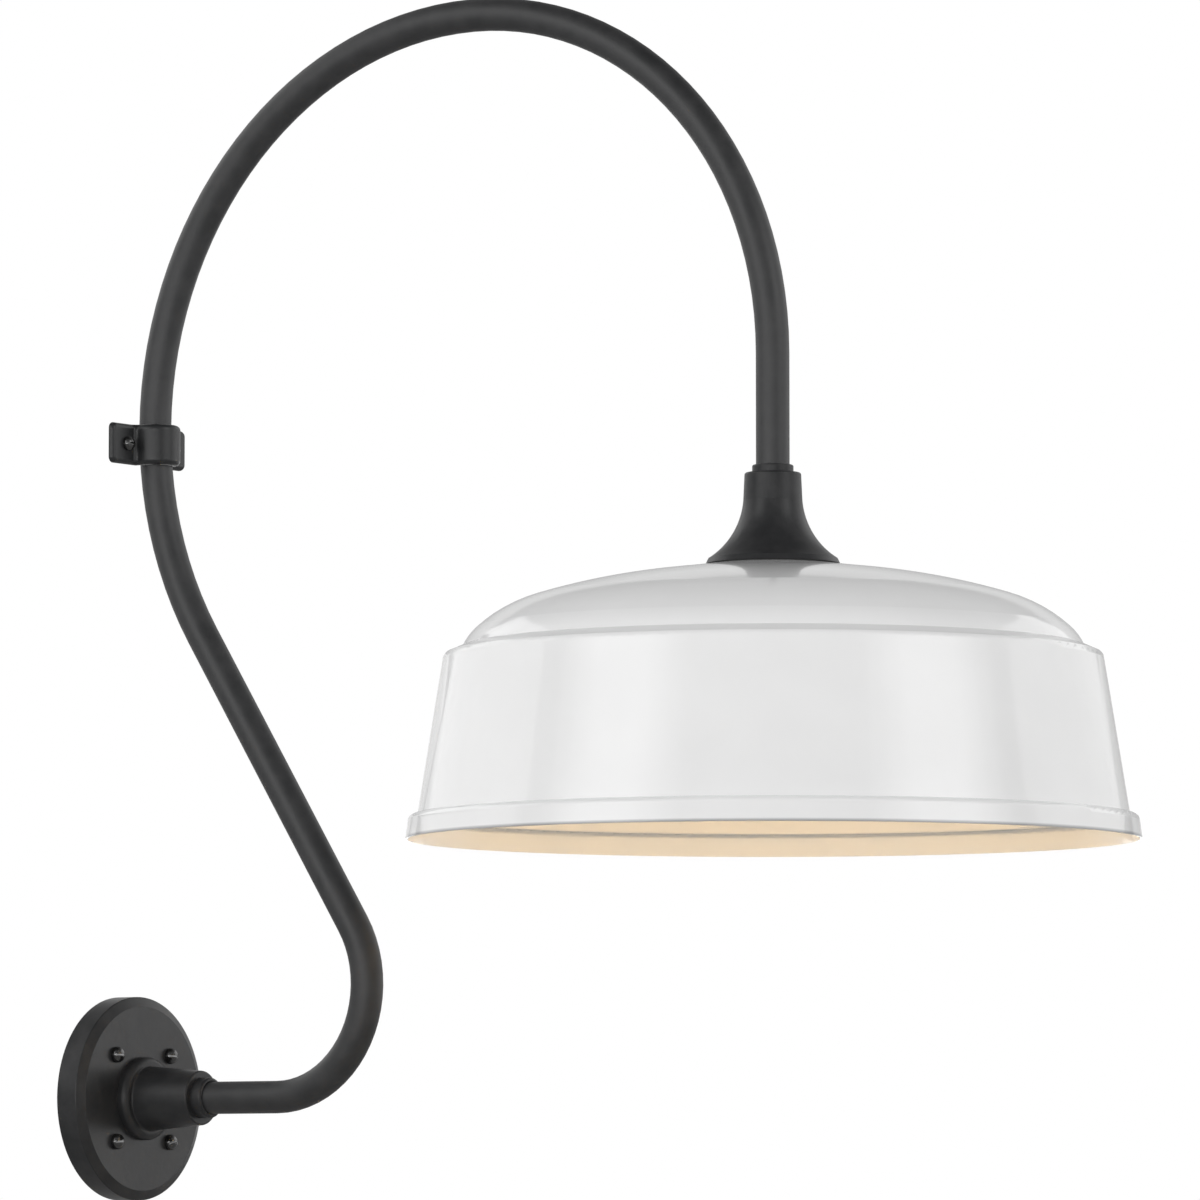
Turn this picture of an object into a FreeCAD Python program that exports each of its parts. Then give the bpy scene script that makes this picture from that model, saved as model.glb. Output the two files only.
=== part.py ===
import FreeCAD, Part
import math
import os
import Sketcher

# Barn light: a wide enamelled shade under a bell fitter, on a gooseneck tube that
# rises from a round wall canopy and is held again by a strap clamp part way up.
#
# Frame: the wall is the plane Y = 0, the light stands out from it along -Y, the
# tube bends in the plane X = 0 and +Z is up. The origin is the centre of the
# canopy on the wall. All sizes are in millimetres and degrees.

SIZES = {
    # round canopy against the wall
    "canopy_radius": 74.0,
    "canopy_depth": 20.5,
    "canopy_side_depth": 17.0,
    "canopy_face_radius": 67.0,
    "canopy_face_thickness": 3.5,
    "canopy_wall": 6.0,
    "canopy_edge_round": 0.8,
    "wall_gasket_width": 8.0,
    "wall_gasket_thickness": 3.0,
    "wall_gasket_fit": 0.1,
    # four round-head screws through the canopy into the outlet box
    "box_circle": 88.9,
    "box_screw_radius": 2.4,
    "box_screw_clearance": 0.3,
    "box_screw_reach": 10.0,
    "box_head_radius": 5.75,
    "box_head_height": 6.2,
    # hub casting, with the tenon and nut that hold it to the canopy
    "hub_flange_radius": 30.2,
    "hub_flange_thickness": 8.0,
    "hub_flange_round": 5.0,
    "hub_cone_back_radius": 23.3,
    "hub_cone_front_radius": 19.7,
    "hub_length": 54.5,
    "hub_root_round": 1.2,
    "hub_nose_round": 1.2,
    "hub_socket_depth": 39.0,
    "hub_bore_radius": 6.5,
    "hub_tenon_radius": 10.0,
    "hub_tenon_clearance": 0.2,
    "hub_tenon_stand": 1.5,
    "hub_washer_radius": 15.5,
    "hub_washer_thickness": 1.6,
    "hub_nut_half_width": 13.0,
    "hub_nut_thickness": 6.0,
    "hub_nut_fit": 0.05,
    "bushing_flange_radius": 9.5,
    "bushing_flange_thickness": 1.5,
    "bushing_length": 8.0,
    "bushing_bore_radius": 4.8,
    "bushing_fit": 0.05,
    # lock ring on the tube, in front of the hub
    "hub_ring_radius": 14.65,
    "hub_ring_length": 9.0,
    "hub_ring_round": 2.0,
    "ring_bore_chamfer": 0.8,
    # gooseneck tube
    "tube_radius": 11.7,
    "tube_wall": 1.25,
    "tube_fit": 0.05,
    "arm_run": 143.0,
    "lower_bend_radius": 80.0,
    "lower_bend_angle": 122.72,
    "arm_rise": 252.4,
    "upper_bend_radius": 281.7,
    "upper_bend_angle": 126.5,
    "drop_bend_radius": 258.5,
    "arm_drop": 109.0,
    # strap clamp round the tube
    "clamp_height": 29.6,
    "clamp_drop": 11.1,
    "clamp_half_span": 43.7,
    "clamp_ear_thickness": 4.2,
    "clamp_ear_lead": 2.9,
    "clamp_ear_round": 4.5,
    "clamp_wall": 5.5,
    "clamp_clearance": 0.3,
    "clamp_root_round": 3.0,
    "clamp_edge_round": 3.8,
    "clamp_screw_offset": 27.0,
    "clamp_screw_radius": 2.4,
    "clamp_screw_clearance": 0.3,
    "clamp_screw_reach": 10.0,
    "clamp_head_radius": 5.25,
    "clamp_head_height": 5.8,
    # lock ring and bell fitter at the shade's neck
    "neck_ring_radius": 14.35,
    "neck_ring_length": 5.4,
    "neck_ring_round": 1.2,
    "bell_height": 63.4,
    "bell_top_radius": 19.6,
    "bell_top_round": 1.6,
    "bell_waist_radius": 20.5,
    "bell_waist_height": 44.0,
    "bell_flare_radius": 52.9,
    "bell_lip_top_radius": 44.8,
    "bell_lip_radius": 46.6,
    "bell_lip_height": 3.8,
    "bell_wall": 3.6,
    "bell_inside_height": 35.0,
    "bell_inside_top_radius": 16.5,
    "bell_inside_flare_radius": 51.0,
    "bell_throat_radius": 9.0,
    "tube_seat_depth": 25.4,
    "fitter_gasket_thickness": 1.0,
    "fitter_gasket_margin": 1.5,
    "fitter_gasket_hole_radius": 26.0,
    # shade
    "shade_radius": 254.0,
    "shade_height": 189.7,
    "shade_thickness": 1.6,
    "shade_hole_radius": 24.0,
    "shade_flat_margin": 0.4,
    "shade_lip_height": 17.0,
    "shade_lip_step": 6.8,
    "shade_lip_slant": 1.6,
    "shade_lip_round": 5.0,
    # plate under the shade, with the screws that clamp the shade to the bell
    "plate_radius": 43.0,
    "plate_thickness": 2.0,
    "plate_hole_radius": 12.0,
    "fitter_screw_circle": 62.0,
    "fitter_screw_radius": 1.9,
    "fitter_screw_clearance": 0.3,
    "fitter_screw_depth": 5.5,
    "fitter_head_radius": 3.6,
    "fitter_head_height": 2.6,
    "fitter_boss_radius": 4.2,
    "fitter_boss_height": 9.0,
    "tapped_hole_fit": 0.05,
    "tapped_hole_spare": 0.5,
    # porcelain lamp socket
    "socket_flange_radius": 25.5,
    "socket_flange_thickness": 6.0,
    "socket_body_radius": 17.5,
    "socket_body_length": 44.0,
    "socket_edge_round": 1.5,
    "socket_roof": 11.0,
    "socket_screw_offset": 21.3,
    "socket_screw_radius": 1.75,
    "socket_screw_clearance": 0.3,
    "socket_screw_stand": 1.5,
    "socket_head_radius": 3.2,
    "socket_head_height": 2.4,
    "shell_radius": 13.95,
    "shell_wall": 0.5,
    "shell_length": 28.0,
    "shell_shelf": 5.0,
    "shell_fit": 0.05,
    "contact_radius": 4.0,
    "contact_thickness": 1.2,
    # lamp
    "lamp_running_gap": 0.3,
    "lamp_base_length": 22.0,
    "lamp_base_wall": 0.4,
    "lamp_base_taper": 3.0,
    "lamp_cap_radius": 8.5,
    "lamp_insulator_height": 3.4,
    "lamp_tip_radius": 4.6,
    "lamp_tip_height": 1.6,
    "lamp_neck_fit": 0.05,
    "lamp_neck_hold": 10.0,
    "lamp_neck_length": 6.0,
    "lamp_bulb_radius": 30.0,
    "lamp_glass_length": 84.0,
    "lamp_glass_wall": 1.0,
    # wires
    "wire_radius": 1.5,
    "wire_spacing": 4.4,
    "wire_fit": 0.1,
    "wire_tail_height": 3.0,
    "wire_socket_depth": 6.0,
    # ground screw and lead inside the canopy
    "ground_offset": 46.0,
    "ground_boss_radius": 5.5,
    "ground_boss_height": 5.0,
    "ground_screw_radius": 2.0,
    "ground_screw_depth": 5.5,
    "ground_head_radius": 4.6,
    "ground_head_height": 2.8,
    "ground_lug_thickness": 0.9,
    "ground_lug_radius": 4.4,
    "ground_lug_tongue_width": 3.2,
    "ground_lug_grip": 1.4,
    "ground_lead_gap": 0.6,
    "ground_lead_radius": 1.3,
    "ground_lead_run": 13.0,
    "ground_lead_bend_radius": 6.5,
    # slots in the screw heads, the plain neck under them, and how far a cutting
    # tool runs past the metal
    "slot_width": 1.3,
    "screw_neck_step": 0.1,
    "screw_neck_spare": 0.4,
    "overrun": 1.0,
}

# Outline of the shade above its lip, from the top of the straight wall to the
# crown: share of the rim radius, share of the shade's height, and the radius of
# the arc that leads there as a share of the rim radius (zero for a straight run).
SHOULDER_POINT_SHARES = ((0.8992, 0.652, 0.0), (0.8910, 0.6765, 0.0236))
DOME_POINT_SHARES = (
    (0.8465, 0.7016, 0.0),
    (0.8100, 0.7677, 0.1619),
    (0.6595, 0.8827, 0.3905),
    (0.3024, 0.9789, 1.9001),
)

# Where the lamp's straight flank meets the round of its bulb: share of the bulb's
# radius, and share of the glass's length below the base.
BULB_JOINT_SHARES = (0.9226, 0.505)

# Straight part of a round screw head, and depth of its slot, as shares of its height.
HEAD_SHOULDER_SHARE = 0.25
HEAD_SLOT_SHARE = 0.38

BOX_SCREWS = 4
FITTER_SCREWS = 3
SOCKET_SCREWS = 2

TINY = 1e-6
EVEN = FreeCAD.Rotation()
OUT_FROM_WALL = FreeCAD.Rotation(FreeCAD.Vector(1, 0, 0), 90)
ALONG_ARM = FreeCAD.Rotation(FreeCAD.Vector(0, 0, 1), -90)


class Length:
    """A size as a number, together with the sheet formula that gives it."""

    def __init__(self, value, formula):
        self.value = float(value)
        self.formula = formula

    def __add__(self, other):
        return Length(self.value + other.value, f"({self.formula} + {other.formula})")

    def __sub__(self, other):
        return Length(self.value - other.value, f"({self.formula} - {other.formula})")

    def __mul__(self, factor):
        if isinstance(factor, Length):
            return Length(self.value * factor.value, f"({self.formula} * {factor.formula})")
        return Length(self.value * factor, f"({self.formula} * {factor!r})")

    def __truediv__(self, divisor):
        if isinstance(divisor, Length):
            return Length(self.value / divisor.value, f"({self.formula} / {divisor.formula})")
        return Length(self.value / divisor, f"({self.formula} / {divisor!r})")

    def __neg__(self):
        return Length(-self.value, f"(-{self.formula})")


NOTHING = Length(0, "0")
QUARTER_TURN = Length(90, "90")


def sine(angle):
    return Length(math.sin(math.radians(angle.value)), f"sin({angle.formula})")


def cosine(angle):
    return Length(math.cos(math.radians(angle.value)), f"cos({angle.formula})")


def root(square):
    return Length(math.sqrt(square.value), f"sqrt({square.formula})")


def cap_radius(half_width, rise):
    """Radius of the arc that rises this far over half its chord."""
    return (half_width * half_width + rise * rise) / (rise * 2)


class Table:
    """A spreadsheet whose named cells are read back as lengths."""

    def __init__(self, doc, name):
        self.sheet = doc.addObject("Spreadsheet::Sheet", name)
        self.name = name
        self.lengths = {}

    def write(self, alias, value, text):
        row = len(self.lengths) + 1
        self.sheet.set(f"A{row}", alias)
        self.sheet.set(f"B{row}", text)
        self.sheet.setAlias(f"B{row}", alias)
        self.lengths[alias] = Length(value, f"{self.name}.{alias}")
        return self.lengths[alias]

    def __getattr__(self, alias):
        return self.lengths[alias]


doc = FreeCAD.newDocument("BarnLight")
size = Table(doc, "Sizes")
for alias, number in SIZES.items():
    size.write(alias, number, repr(number))
place = Table(doc, "Places")


def work_out(alias, length):
    """Writes a worked-out length into its own cell and returns it by that name."""
    return place.write(alias, length.value, "=" + length.formula)


# Placing and drawing

def bind(target, path, length):
    target.setExpression(path, length.formula)


def seat(body, turn, x=NOTHING, y=NOTHING, z=NOTHING):
    """Puts a body at its place, with every offset bound to the sheets."""
    body.Placement = FreeCAD.Placement(FreeCAD.Vector(x.value, y.value, z.value), turn)
    for axis, length in zip("xyz", (x, y, z)):
        if length is not NOTHING:
            bind(body, f"Placement.Base.{axis}", length)


def new_body(name):
    body = doc.addObject("PartDesign::Body", name)
    body.Label = name
    return body


def new_sketch(body, name, plane, x=NOTHING, y=NOTHING, z=NOTHING):
    """A sketch on one of the body's own origin planes, shifted within that plane's frame."""
    sketch = body.newObject("Sketcher::SketchObject", name)
    for feature in body.Origin.OriginFeatures:
        if feature.Role == plane:
            sketch.AttachmentSupport = [(feature, "")]
    sketch.MapMode = "FlatFace"
    offset = FreeCAD.Vector(x.value, y.value, z.value)
    sketch.AttachmentOffset = FreeCAD.Placement(offset, EVEN)
    for axis, length in zip("xyz", (x, y, z)):
        if length is not NOTHING:
            bind(sketch, f"AttachmentOffset.Base.{axis}", length)
    return sketch


def constrain(sketch, kind, where, length):
    """Adds one dimension and binds it to the sheets."""
    number = sketch.addConstraint(Sketcher.Constraint(kind, *where, length.value))
    bind(sketch, f"Constraints[{number}]", length)


def fix_point(sketch, part, end, x, y):
    """Holds one end of a piece of geometry at a place in the sketch."""
    for kind, axis, length in (("DistanceX", -2, x), ("DistanceY", -1, y)):
        if abs(length.value) < TINY:
            sketch.addConstraint(Sketcher.Constraint("PointOnObject", part, end, axis))
        else:
            constrain(sketch, kind, (-1, 1, part, end), length)


def arc_between(start, finish, radius):
    """An arc under half a turn, to the left for a positive radius, else to the right."""
    chord = finish - start
    half = chord.Length / 2
    side = FreeCAD.Vector(-chord.y, chord.x, 0).normalize()
    reach = math.sqrt(radius * radius - half * half)
    middle = (start + finish) / 2
    centre = middle + side * math.copysign(reach, radius)
    first, last = (start, finish) if radius > 0 else (finish, start)
    circle = Part.Circle(centre, FreeCAD.Vector(0, 0, 1), abs(radius))
    from_angle = math.atan2(first.y - centre.y, first.x - centre.x)
    to_angle = math.atan2(last.y - centre.y, last.x - centre.x)
    return Part.ArcOfCircle(circle, from_angle, to_angle)


def draw(sketch, corners, closed=True):
    """Draws lines and arcs from corner to corner. A corner is (x, y), or (x, y, radius)
    where an arc leads to it, and the first corner of a closed outline may have one too."""
    count = len(corners)
    spans = count if closed else count - 1
    ends = []
    for number in range(spans):
        here = corners[number]
        there = corners[(number + 1) % count]
        start = FreeCAD.Vector(here[0].value, here[1].value, 0)
        finish = FreeCAD.Vector(there[0].value, there[1].value, 0)
        if len(there) == 2:
            part = sketch.addGeometry(Part.LineSegment(start, finish))
            ends.append((part, 1, 2))
        else:
            part = sketch.addGeometry(arc_between(start, finish, there[2].value))
            forward = there[2].value > 0
            ends.append((part, 1, 2) if forward else (part, 2, 1))
            constrain(sketch, "Radius", (part,), there[2] if forward else -there[2])
    for number, (part, first, last) in enumerate(ends):
        fix_point(sketch, part, first, corners[number][0], corners[number][1])
        if number + 1 < spans or closed:
            follower, joint, _ = ends[(number + 1) % spans]
            sketch.addConstraint(Sketcher.Constraint("Coincident", part, last, follower, joint))
        else:
            fix_point(sketch, part, last, corners[-1][0], corners[-1][1])


def draw_circle(sketch, radius, x=NOTHING, y=NOTHING):
    centre = FreeCAD.Vector(x.value, y.value, 0)
    circle = Part.Circle(centre, FreeCAD.Vector(0, 0, 1), radius.value)
    part = sketch.addGeometry(circle)
    fix_point(sketch, part, 3, x, y)
    constrain(sketch, "Radius", (part,), radius)


def draw_box(sketch, half_width, half_height):
    draw(sketch, [(-half_width, -half_height), (half_width, -half_height),
                  (half_width, half_height), (-half_width, half_height)])


# Features

def turn_outline(body, corners, x=NOTHING, y=NOTHING):
    """Turns a closed outline of (radius, height) corners about the body's upright axis,
    or about an upright line at (x, y)."""
    sketch = new_sketch(body, body.Name + "_outline", "XZ_Plane", x=x, z=-y)
    draw(sketch, corners)
    turned = body.newObject("PartDesign::Revolution", body.Name + "_turned")
    turned.Profile = sketch
    turned.ReferenceAxis = (sketch, ["V_Axis"])
    turned.Angle = 360
    doc.recompute()
    return turned


def turned_body(name, corners, turn=EVEN, **where):
    body = new_body(name)
    turn_outline(body, corners)
    seat(body, turn, **where)
    return body


def pad(body, sketch, length, both_ways=False):
    padded = body.newObject("PartDesign::Pad", sketch.Name + "_pad")
    padded.Profile = sketch
    padded.Length = length.value
    padded.SideType = "Symmetric" if both_ways else "One side"
    bind(padded, "Length", length)
    doc.recompute()
    return padded


def cut(body, sketch, depth=None, upward=True):
    """Cuts a sketch into the body, right through both ways where no depth is given."""
    before = body.Shape.Volume
    pocket = body.newObject("PartDesign::Pocket", sketch.Name + "_cut")
    pocket.Profile = sketch
    if depth is None:
        pocket.SideType = "Symmetric"
        pocket.Type = "ThroughAll"
    else:
        pocket.Length = depth.value
        pocket.Reversed = upward
        bind(pocket, "Length", depth)
    doc.recompute()
    if body.Shape.Volume > before - TINY:
        raise RuntimeError(f"{pocket.Name} cuts nothing")
    return pocket


def round_edges(body, radius, height):
    """Names of the round edges with this radius at this height on the body's axis."""
    names = []
    for number, edge in enumerate(body.Tip.Shape.Edges, 1):
        if not isinstance(edge.Curve, Part.Circle):
            continue
        close = abs(edge.Curve.Radius - radius.value) < TINY
        level = abs(edge.Curve.Center.z - height.value) < TINY
        if close and level:
            names.append(f"Edge{number}")
    return names


def soften(body, kind, edges, amount):
    """Rounds or chamfers the named edges of the body as it stands."""
    if not edges:
        raise RuntimeError(f"no edge to soften on {body.Label}")
    base = body.Tip
    feature = body.newObject("PartDesign::" + kind, f"{body.Name}_{kind}")
    feature.Base = (base, edges)
    prop = "Radius" if kind == "Fillet" else "Size"
    setattr(feature, prop, amount.value)
    bind(feature, prop, amount)
    doc.recompute()


def ring_pattern(body, features, count):
    """Repeats features evenly round the body's upright axis."""
    pattern = body.newObject("PartDesign::PolarPattern", body.Name + "_ring")
    pattern.Originals = features
    for axis in body.Origin.OriginFeatures:
        if axis.Role == "Z_Axis":
            pattern.Axis = (axis, [""])
    pattern.Angle = 360
    pattern.Occurrences = count
    body.Tip = pattern
    doc.recompute()


def new_mirror(body, plane):
    """A mirroring in one of the body's origin planes."""
    mirrored = body.newObject("PartDesign::Mirrored", f"{body.Name}_{plane[:2]}")
    for origin_plane in body.Origin.OriginFeatures:
        if origin_plane.Role == plane:
            mirrored.MirrorPlane = (origin_plane, [""])
    return mirrored


def mirror(body, features, plane):
    """Repeats features on the other side of one of the body's origin planes."""
    mirrored = new_mirror(body, plane)
    mirrored.Originals = features
    body.Tip = mirrored
    doc.recompute()


# Places that several pieces share. Heights on the wall side are measured out from
# the wall, and heights at the shade up from the underside of the bell.

canopy_inside = work_out("canopy_inside", size.canopy_depth - size.canopy_face_thickness)
hub_front = work_out("hub_front", size.canopy_depth + size.hub_length)
hub_socket_floor = work_out("hub_socket_floor", hub_front - size.hub_socket_depth)
tube_bore = work_out("tube_bore", size.tube_radius + size.tube_fit)
washer_back = work_out("washer_back", canopy_inside - size.hub_washer_thickness)
nut_back = work_out("nut_back", washer_back - size.hub_nut_thickness)
tenon_end = work_out("tenon_end", nut_back - size.hub_tenon_stand)
box_spread = work_out("box_spread", size.box_circle / 2 * sine(QUARTER_TURN / 2))

# The tube leaves the wall level, turns up and back, and comes over and down. Each
# stretch's end is worked out from the one before it.
lean = size.lower_bend_angle
over = work_out("over", lean - size.upper_bend_angle)
bend_reach = work_out("bend_reach", size.arm_run + size.lower_bend_radius * sine(lean))
bend_rise = work_out("bend_rise", size.lower_bend_radius - size.lower_bend_radius * cosine(lean))
rise_reach = work_out("rise_reach", bend_reach + size.arm_rise * cosine(lean))
rise_top = work_out("rise_top", bend_rise + size.arm_rise * sine(lean))
arch_reach = work_out("arch_reach", rise_reach + size.upper_bend_radius * sine(lean))
arch_level = work_out("arch_level", rise_top - size.upper_bend_radius * cosine(lean))
crown_reach = work_out("crown_reach", arch_reach - size.upper_bend_radius * sine(over))
crown_rise = work_out("crown_rise", arch_level + size.upper_bend_radius * cosine(over))
head_reach = work_out(
    "head_reach", crown_reach + size.drop_bend_radius * (sine(over) + sine(QUARTER_TURN)))
drop_top = work_out("drop_top", crown_rise - size.drop_bend_radius * cosine(over))
tube_end_rise = work_out("tube_end_rise", drop_top - size.arm_drop)

# The clamp sits just below the point where the tube comes nearest the wall. Its ears
# stand a little in front of the tube's back, so that it grips the tube.
clamp_level = work_out("clamp_level", arch_level - size.clamp_drop)
clamp_low = work_out("clamp_low", size.clamp_drop + size.clamp_height / 2)
clamp_lean = root(size.upper_bend_radius * size.upper_bend_radius - clamp_low * clamp_low)
clamp_reach = work_out("clamp_reach", arch_reach - clamp_lean)
clamp_back = work_out(
    "clamp_back",
    arch_reach - size.upper_bend_radius - size.tube_radius + size.clamp_ear_lead)
clamp_face = work_out("clamp_face", clamp_back + size.clamp_ear_thickness)

# Shade and lamp heights, measured up from the underside of the bell.
tube_seat = work_out("tube_seat", size.bell_height - size.tube_seat_depth)
head_rise = work_out("head_rise", tube_end_rise - tube_seat)
shade_top = work_out("shade_top", -size.fitter_gasket_thickness)
shade_rim = work_out("shade_rim", shade_top - size.shade_height)
plate_top = work_out("plate_top", shade_top - size.shade_thickness)
socket_top = work_out("socket_top", plate_top - size.plate_thickness)
socket_mouth = work_out("socket_mouth", socket_top - size.socket_body_length)
socket_ceiling = work_out("socket_ceiling", socket_top - size.socket_roof)
shell_mouth = work_out("shell_mouth", socket_ceiling - size.shell_length)
contact_face = work_out("contact_face", socket_ceiling - size.contact_thickness)
lamp_top = work_out("lamp_top", contact_face - size.lamp_running_gap)
lamp_base_top = work_out(
    "lamp_base_top", lamp_top - size.lamp_tip_height - size.lamp_insulator_height)
lamp_base_mouth = work_out("lamp_base_mouth", lamp_base_top - size.lamp_base_length)
lamp_base_radius = work_out(
    "lamp_base_radius", size.shell_radius - size.shell_wall - size.lamp_running_gap)


def seat_at_head(body):
    """Puts a body that is drawn from the underside of the bell at its place."""
    seat(body, EVEN, y=-head_reach, z=head_rise)


# Canopy, hub and what holds them

def make_canopy():
    inner = size.canopy_radius - size.canopy_wall
    ledge = inner + size.canopy_wall / 2
    hole = size.hub_tenon_radius + size.hub_tenon_clearance
    body = turned_body("canopy", [
        (hole, canopy_inside),
        (hole, size.canopy_depth),
        (size.canopy_face_radius, size.canopy_depth),
        (size.canopy_radius, size.canopy_side_depth),
        (size.canopy_radius, NOTHING),
        (ledge, NOTHING),
        (ledge, size.wall_gasket_thickness),
        (inner, size.wall_gasket_thickness),
        (inner, canopy_inside),
    ], OUT_FROM_WALL)
    boss = new_sketch(body, "canopy_boss", "XY_Plane", z=canopy_inside - size.ground_boss_height)
    draw_circle(boss, size.ground_boss_radius, y=size.ground_offset)
    pad(body, boss, size.ground_boss_height + size.canopy_face_thickness / 2)
    tapped = new_sketch(body, "canopy_tapped", "XY_Plane",
                        z=canopy_inside - size.ground_boss_height - size.overrun)
    draw_circle(tapped, size.ground_screw_radius + size.tapped_hole_fit, y=size.ground_offset)
    cut(body, tapped, size.ground_screw_depth + size.tapped_hole_spare + size.overrun)
    hole_sketch = new_sketch(body, "canopy_hole", "XY_Plane", z=size.canopy_depth)
    draw_circle(hole_sketch, size.box_screw_radius + size.box_screw_clearance,
                x=box_spread, y=box_spread)
    hole_cut = cut(body, hole_sketch)
    ring_pattern(body, [hole_cut], BOX_SCREWS)
    rims = (round_edges(body, size.canopy_radius, size.canopy_side_depth)
            + round_edges(body, size.canopy_face_radius, size.canopy_depth))
    soften(body, "Fillet", rims, size.canopy_edge_round)


def make_wall_gasket():
    outer = size.canopy_radius - size.canopy_wall / 2 - size.wall_gasket_fit
    inner = outer - size.wall_gasket_width
    turned_body("wall_gasket", [
        (inner, NOTHING),
        (outer, NOTHING),
        (outer, size.wall_gasket_thickness),
        (inner, size.wall_gasket_thickness),
    ], OUT_FROM_WALL)


def add_screw(body, head_radius, head_height, shank_radius, grip, reach,
              x=NOTHING, y=NOTHING, level=NOTHING):
    """A round-head screw on an upright line at (x, y), head up, its head's underside at
    the level given, with a slot along the body's x axis. Its plain neck passes what it
    grips, and the shank reaches on from there."""
    shoulder = head_height * HEAD_SHOULDER_SHARE
    neck_radius = shank_radius + size.screw_neck_step
    neck_end = level - grip - size.screw_neck_spare
    tip = level - grip - reach
    turned = turn_outline(body, [
        (NOTHING, tip),
        (shank_radius, tip),
        (shank_radius, neck_end),
        (neck_radius, neck_end),
        (neck_radius, level),
        (head_radius, level),
        (head_radius, level + shoulder),
        (NOTHING, level + head_height, cap_radius(head_radius, head_height - shoulder)),
    ], x=x, y=y)
    slot_depth = head_height * HEAD_SLOT_SHARE
    slot = new_sketch(body, body.Name + "_slot", "XY_Plane", x=x, y=y,
                      z=level + head_height - slot_depth)
    draw_box(slot, head_radius + size.overrun, size.slot_width / 2)
    slotted = cut(body, slot, slot_depth + size.overrun)
    return [turned, slotted]


def make_canopy_screws():
    body = new_body("canopy_screws")
    screw = add_screw(body, size.box_head_radius, size.box_head_height, size.box_screw_radius,
                      size.canopy_face_thickness, canopy_inside + size.box_screw_reach,
                      x=box_spread, y=box_spread, level=size.canopy_depth)
    transform = body.newObject("PartDesign::MultiTransform", "canopy_screws_set")
    transform.Originals = screw
    transform.Transformations = [new_mirror(body, "YZ_Plane"), new_mirror(body, "XZ_Plane")]
    body.Tip = transform
    seat(body, OUT_FROM_WALL)


def make_hub():
    flange_front = size.canopy_depth + size.hub_flange_thickness
    body = turned_body("hub", [
        (size.hub_bore_radius, tenon_end),
        (size.hub_tenon_radius, tenon_end),
        (size.hub_tenon_radius, size.canopy_depth),
        (size.hub_flange_radius, size.canopy_depth),
        (size.hub_flange_radius, flange_front),
        (size.hub_cone_back_radius, flange_front),
        (size.hub_cone_front_radius, hub_front),
        (tube_bore, hub_front),
        (tube_bore, hub_socket_floor),
        (size.hub_bore_radius, hub_socket_floor),
    ], OUT_FROM_WALL)
    soften(body, "Fillet", round_edges(body, size.hub_flange_radius, flange_front),
           size.hub_flange_round)
    soften(body, "Fillet", round_edges(body, size.hub_cone_back_radius, flange_front),
           size.hub_root_round)
    soften(body, "Fillet", round_edges(body, size.hub_cone_front_radius, hub_front),
           size.hub_nose_round)


def make_hub_washer():
    turned_body("hub_washer", [
        (size.hub_tenon_radius + size.hub_tenon_clearance, washer_back),
        (size.hub_washer_radius, washer_back),
        (size.hub_washer_radius, canopy_inside),
        (size.hub_tenon_radius + size.hub_tenon_clearance, canopy_inside),
    ], OUT_FROM_WALL)


def make_hub_locknut():
    body = new_body("hub_locknut")
    sketch = new_sketch(body, "hub_locknut_outline", "XY_Plane", z=nut_back)
    half_side = size.hub_nut_half_width * (sine(QUARTER_TURN / 3) / cosine(QUARTER_TURN / 3))
    corner = half_side * 2
    draw(sketch, [
        (corner, NOTHING),
        (half_side, size.hub_nut_half_width),
        (-half_side, size.hub_nut_half_width),
        (-corner, NOTHING),
        (-half_side, -size.hub_nut_half_width),
        (half_side, -size.hub_nut_half_width),
    ])
    draw_circle(sketch, size.hub_tenon_radius + size.hub_nut_fit)
    pad(body, sketch, size.hub_nut_thickness)
    seat(body, OUT_FROM_WALL)


def make_wire_bushing():
    sleeve = size.hub_bore_radius - size.bushing_fit
    turned_body("wire_bushing", [
        (size.bushing_bore_radius, tenon_end - size.bushing_flange_thickness),
        (size.bushing_flange_radius, tenon_end - size.bushing_flange_thickness),
        (size.bushing_flange_radius, tenon_end),
        (sleeve, tenon_end),
        (sleeve, tenon_end + size.bushing_length),
        (size.bushing_bore_radius, tenon_end + size.bushing_length),
    ], OUT_FROM_WALL)


def make_lock_ring(name, radius, level, length, softness, turn, **where):
    """A ring screwed on the tube against the casting beside it."""
    top = level + length
    body = turned_body(name, [
        (tube_bore, level),
        (radius, level),
        (radius, top),
        (tube_bore, top),
    ], turn, **where)
    soften(body, "Fillet", round_edges(body, radius, top), softness)
    soften(body, "Chamfer", round_edges(body, tube_bore, top), size.ring_bore_chamfer)


def make_ground_screw():
    body = new_body("ground_screw")
    bearing = canopy_inside - size.ground_boss_height - size.ground_lug_thickness
    sketch = new_sketch(body, "ground_screw_shank", "XY_Plane", z=bearing)
    draw_circle(sketch, size.ground_screw_radius, y=size.ground_offset)
    pad(body, sketch, size.ground_lug_thickness + size.ground_screw_depth)
    head = new_sketch(body, "ground_screw_head", "XY_Plane", z=bearing - size.ground_head_height)
    draw_circle(head, size.ground_head_radius, y=size.ground_offset)
    pad(body, head, size.ground_head_height)
    seat(body, OUT_FROM_WALL)


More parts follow.
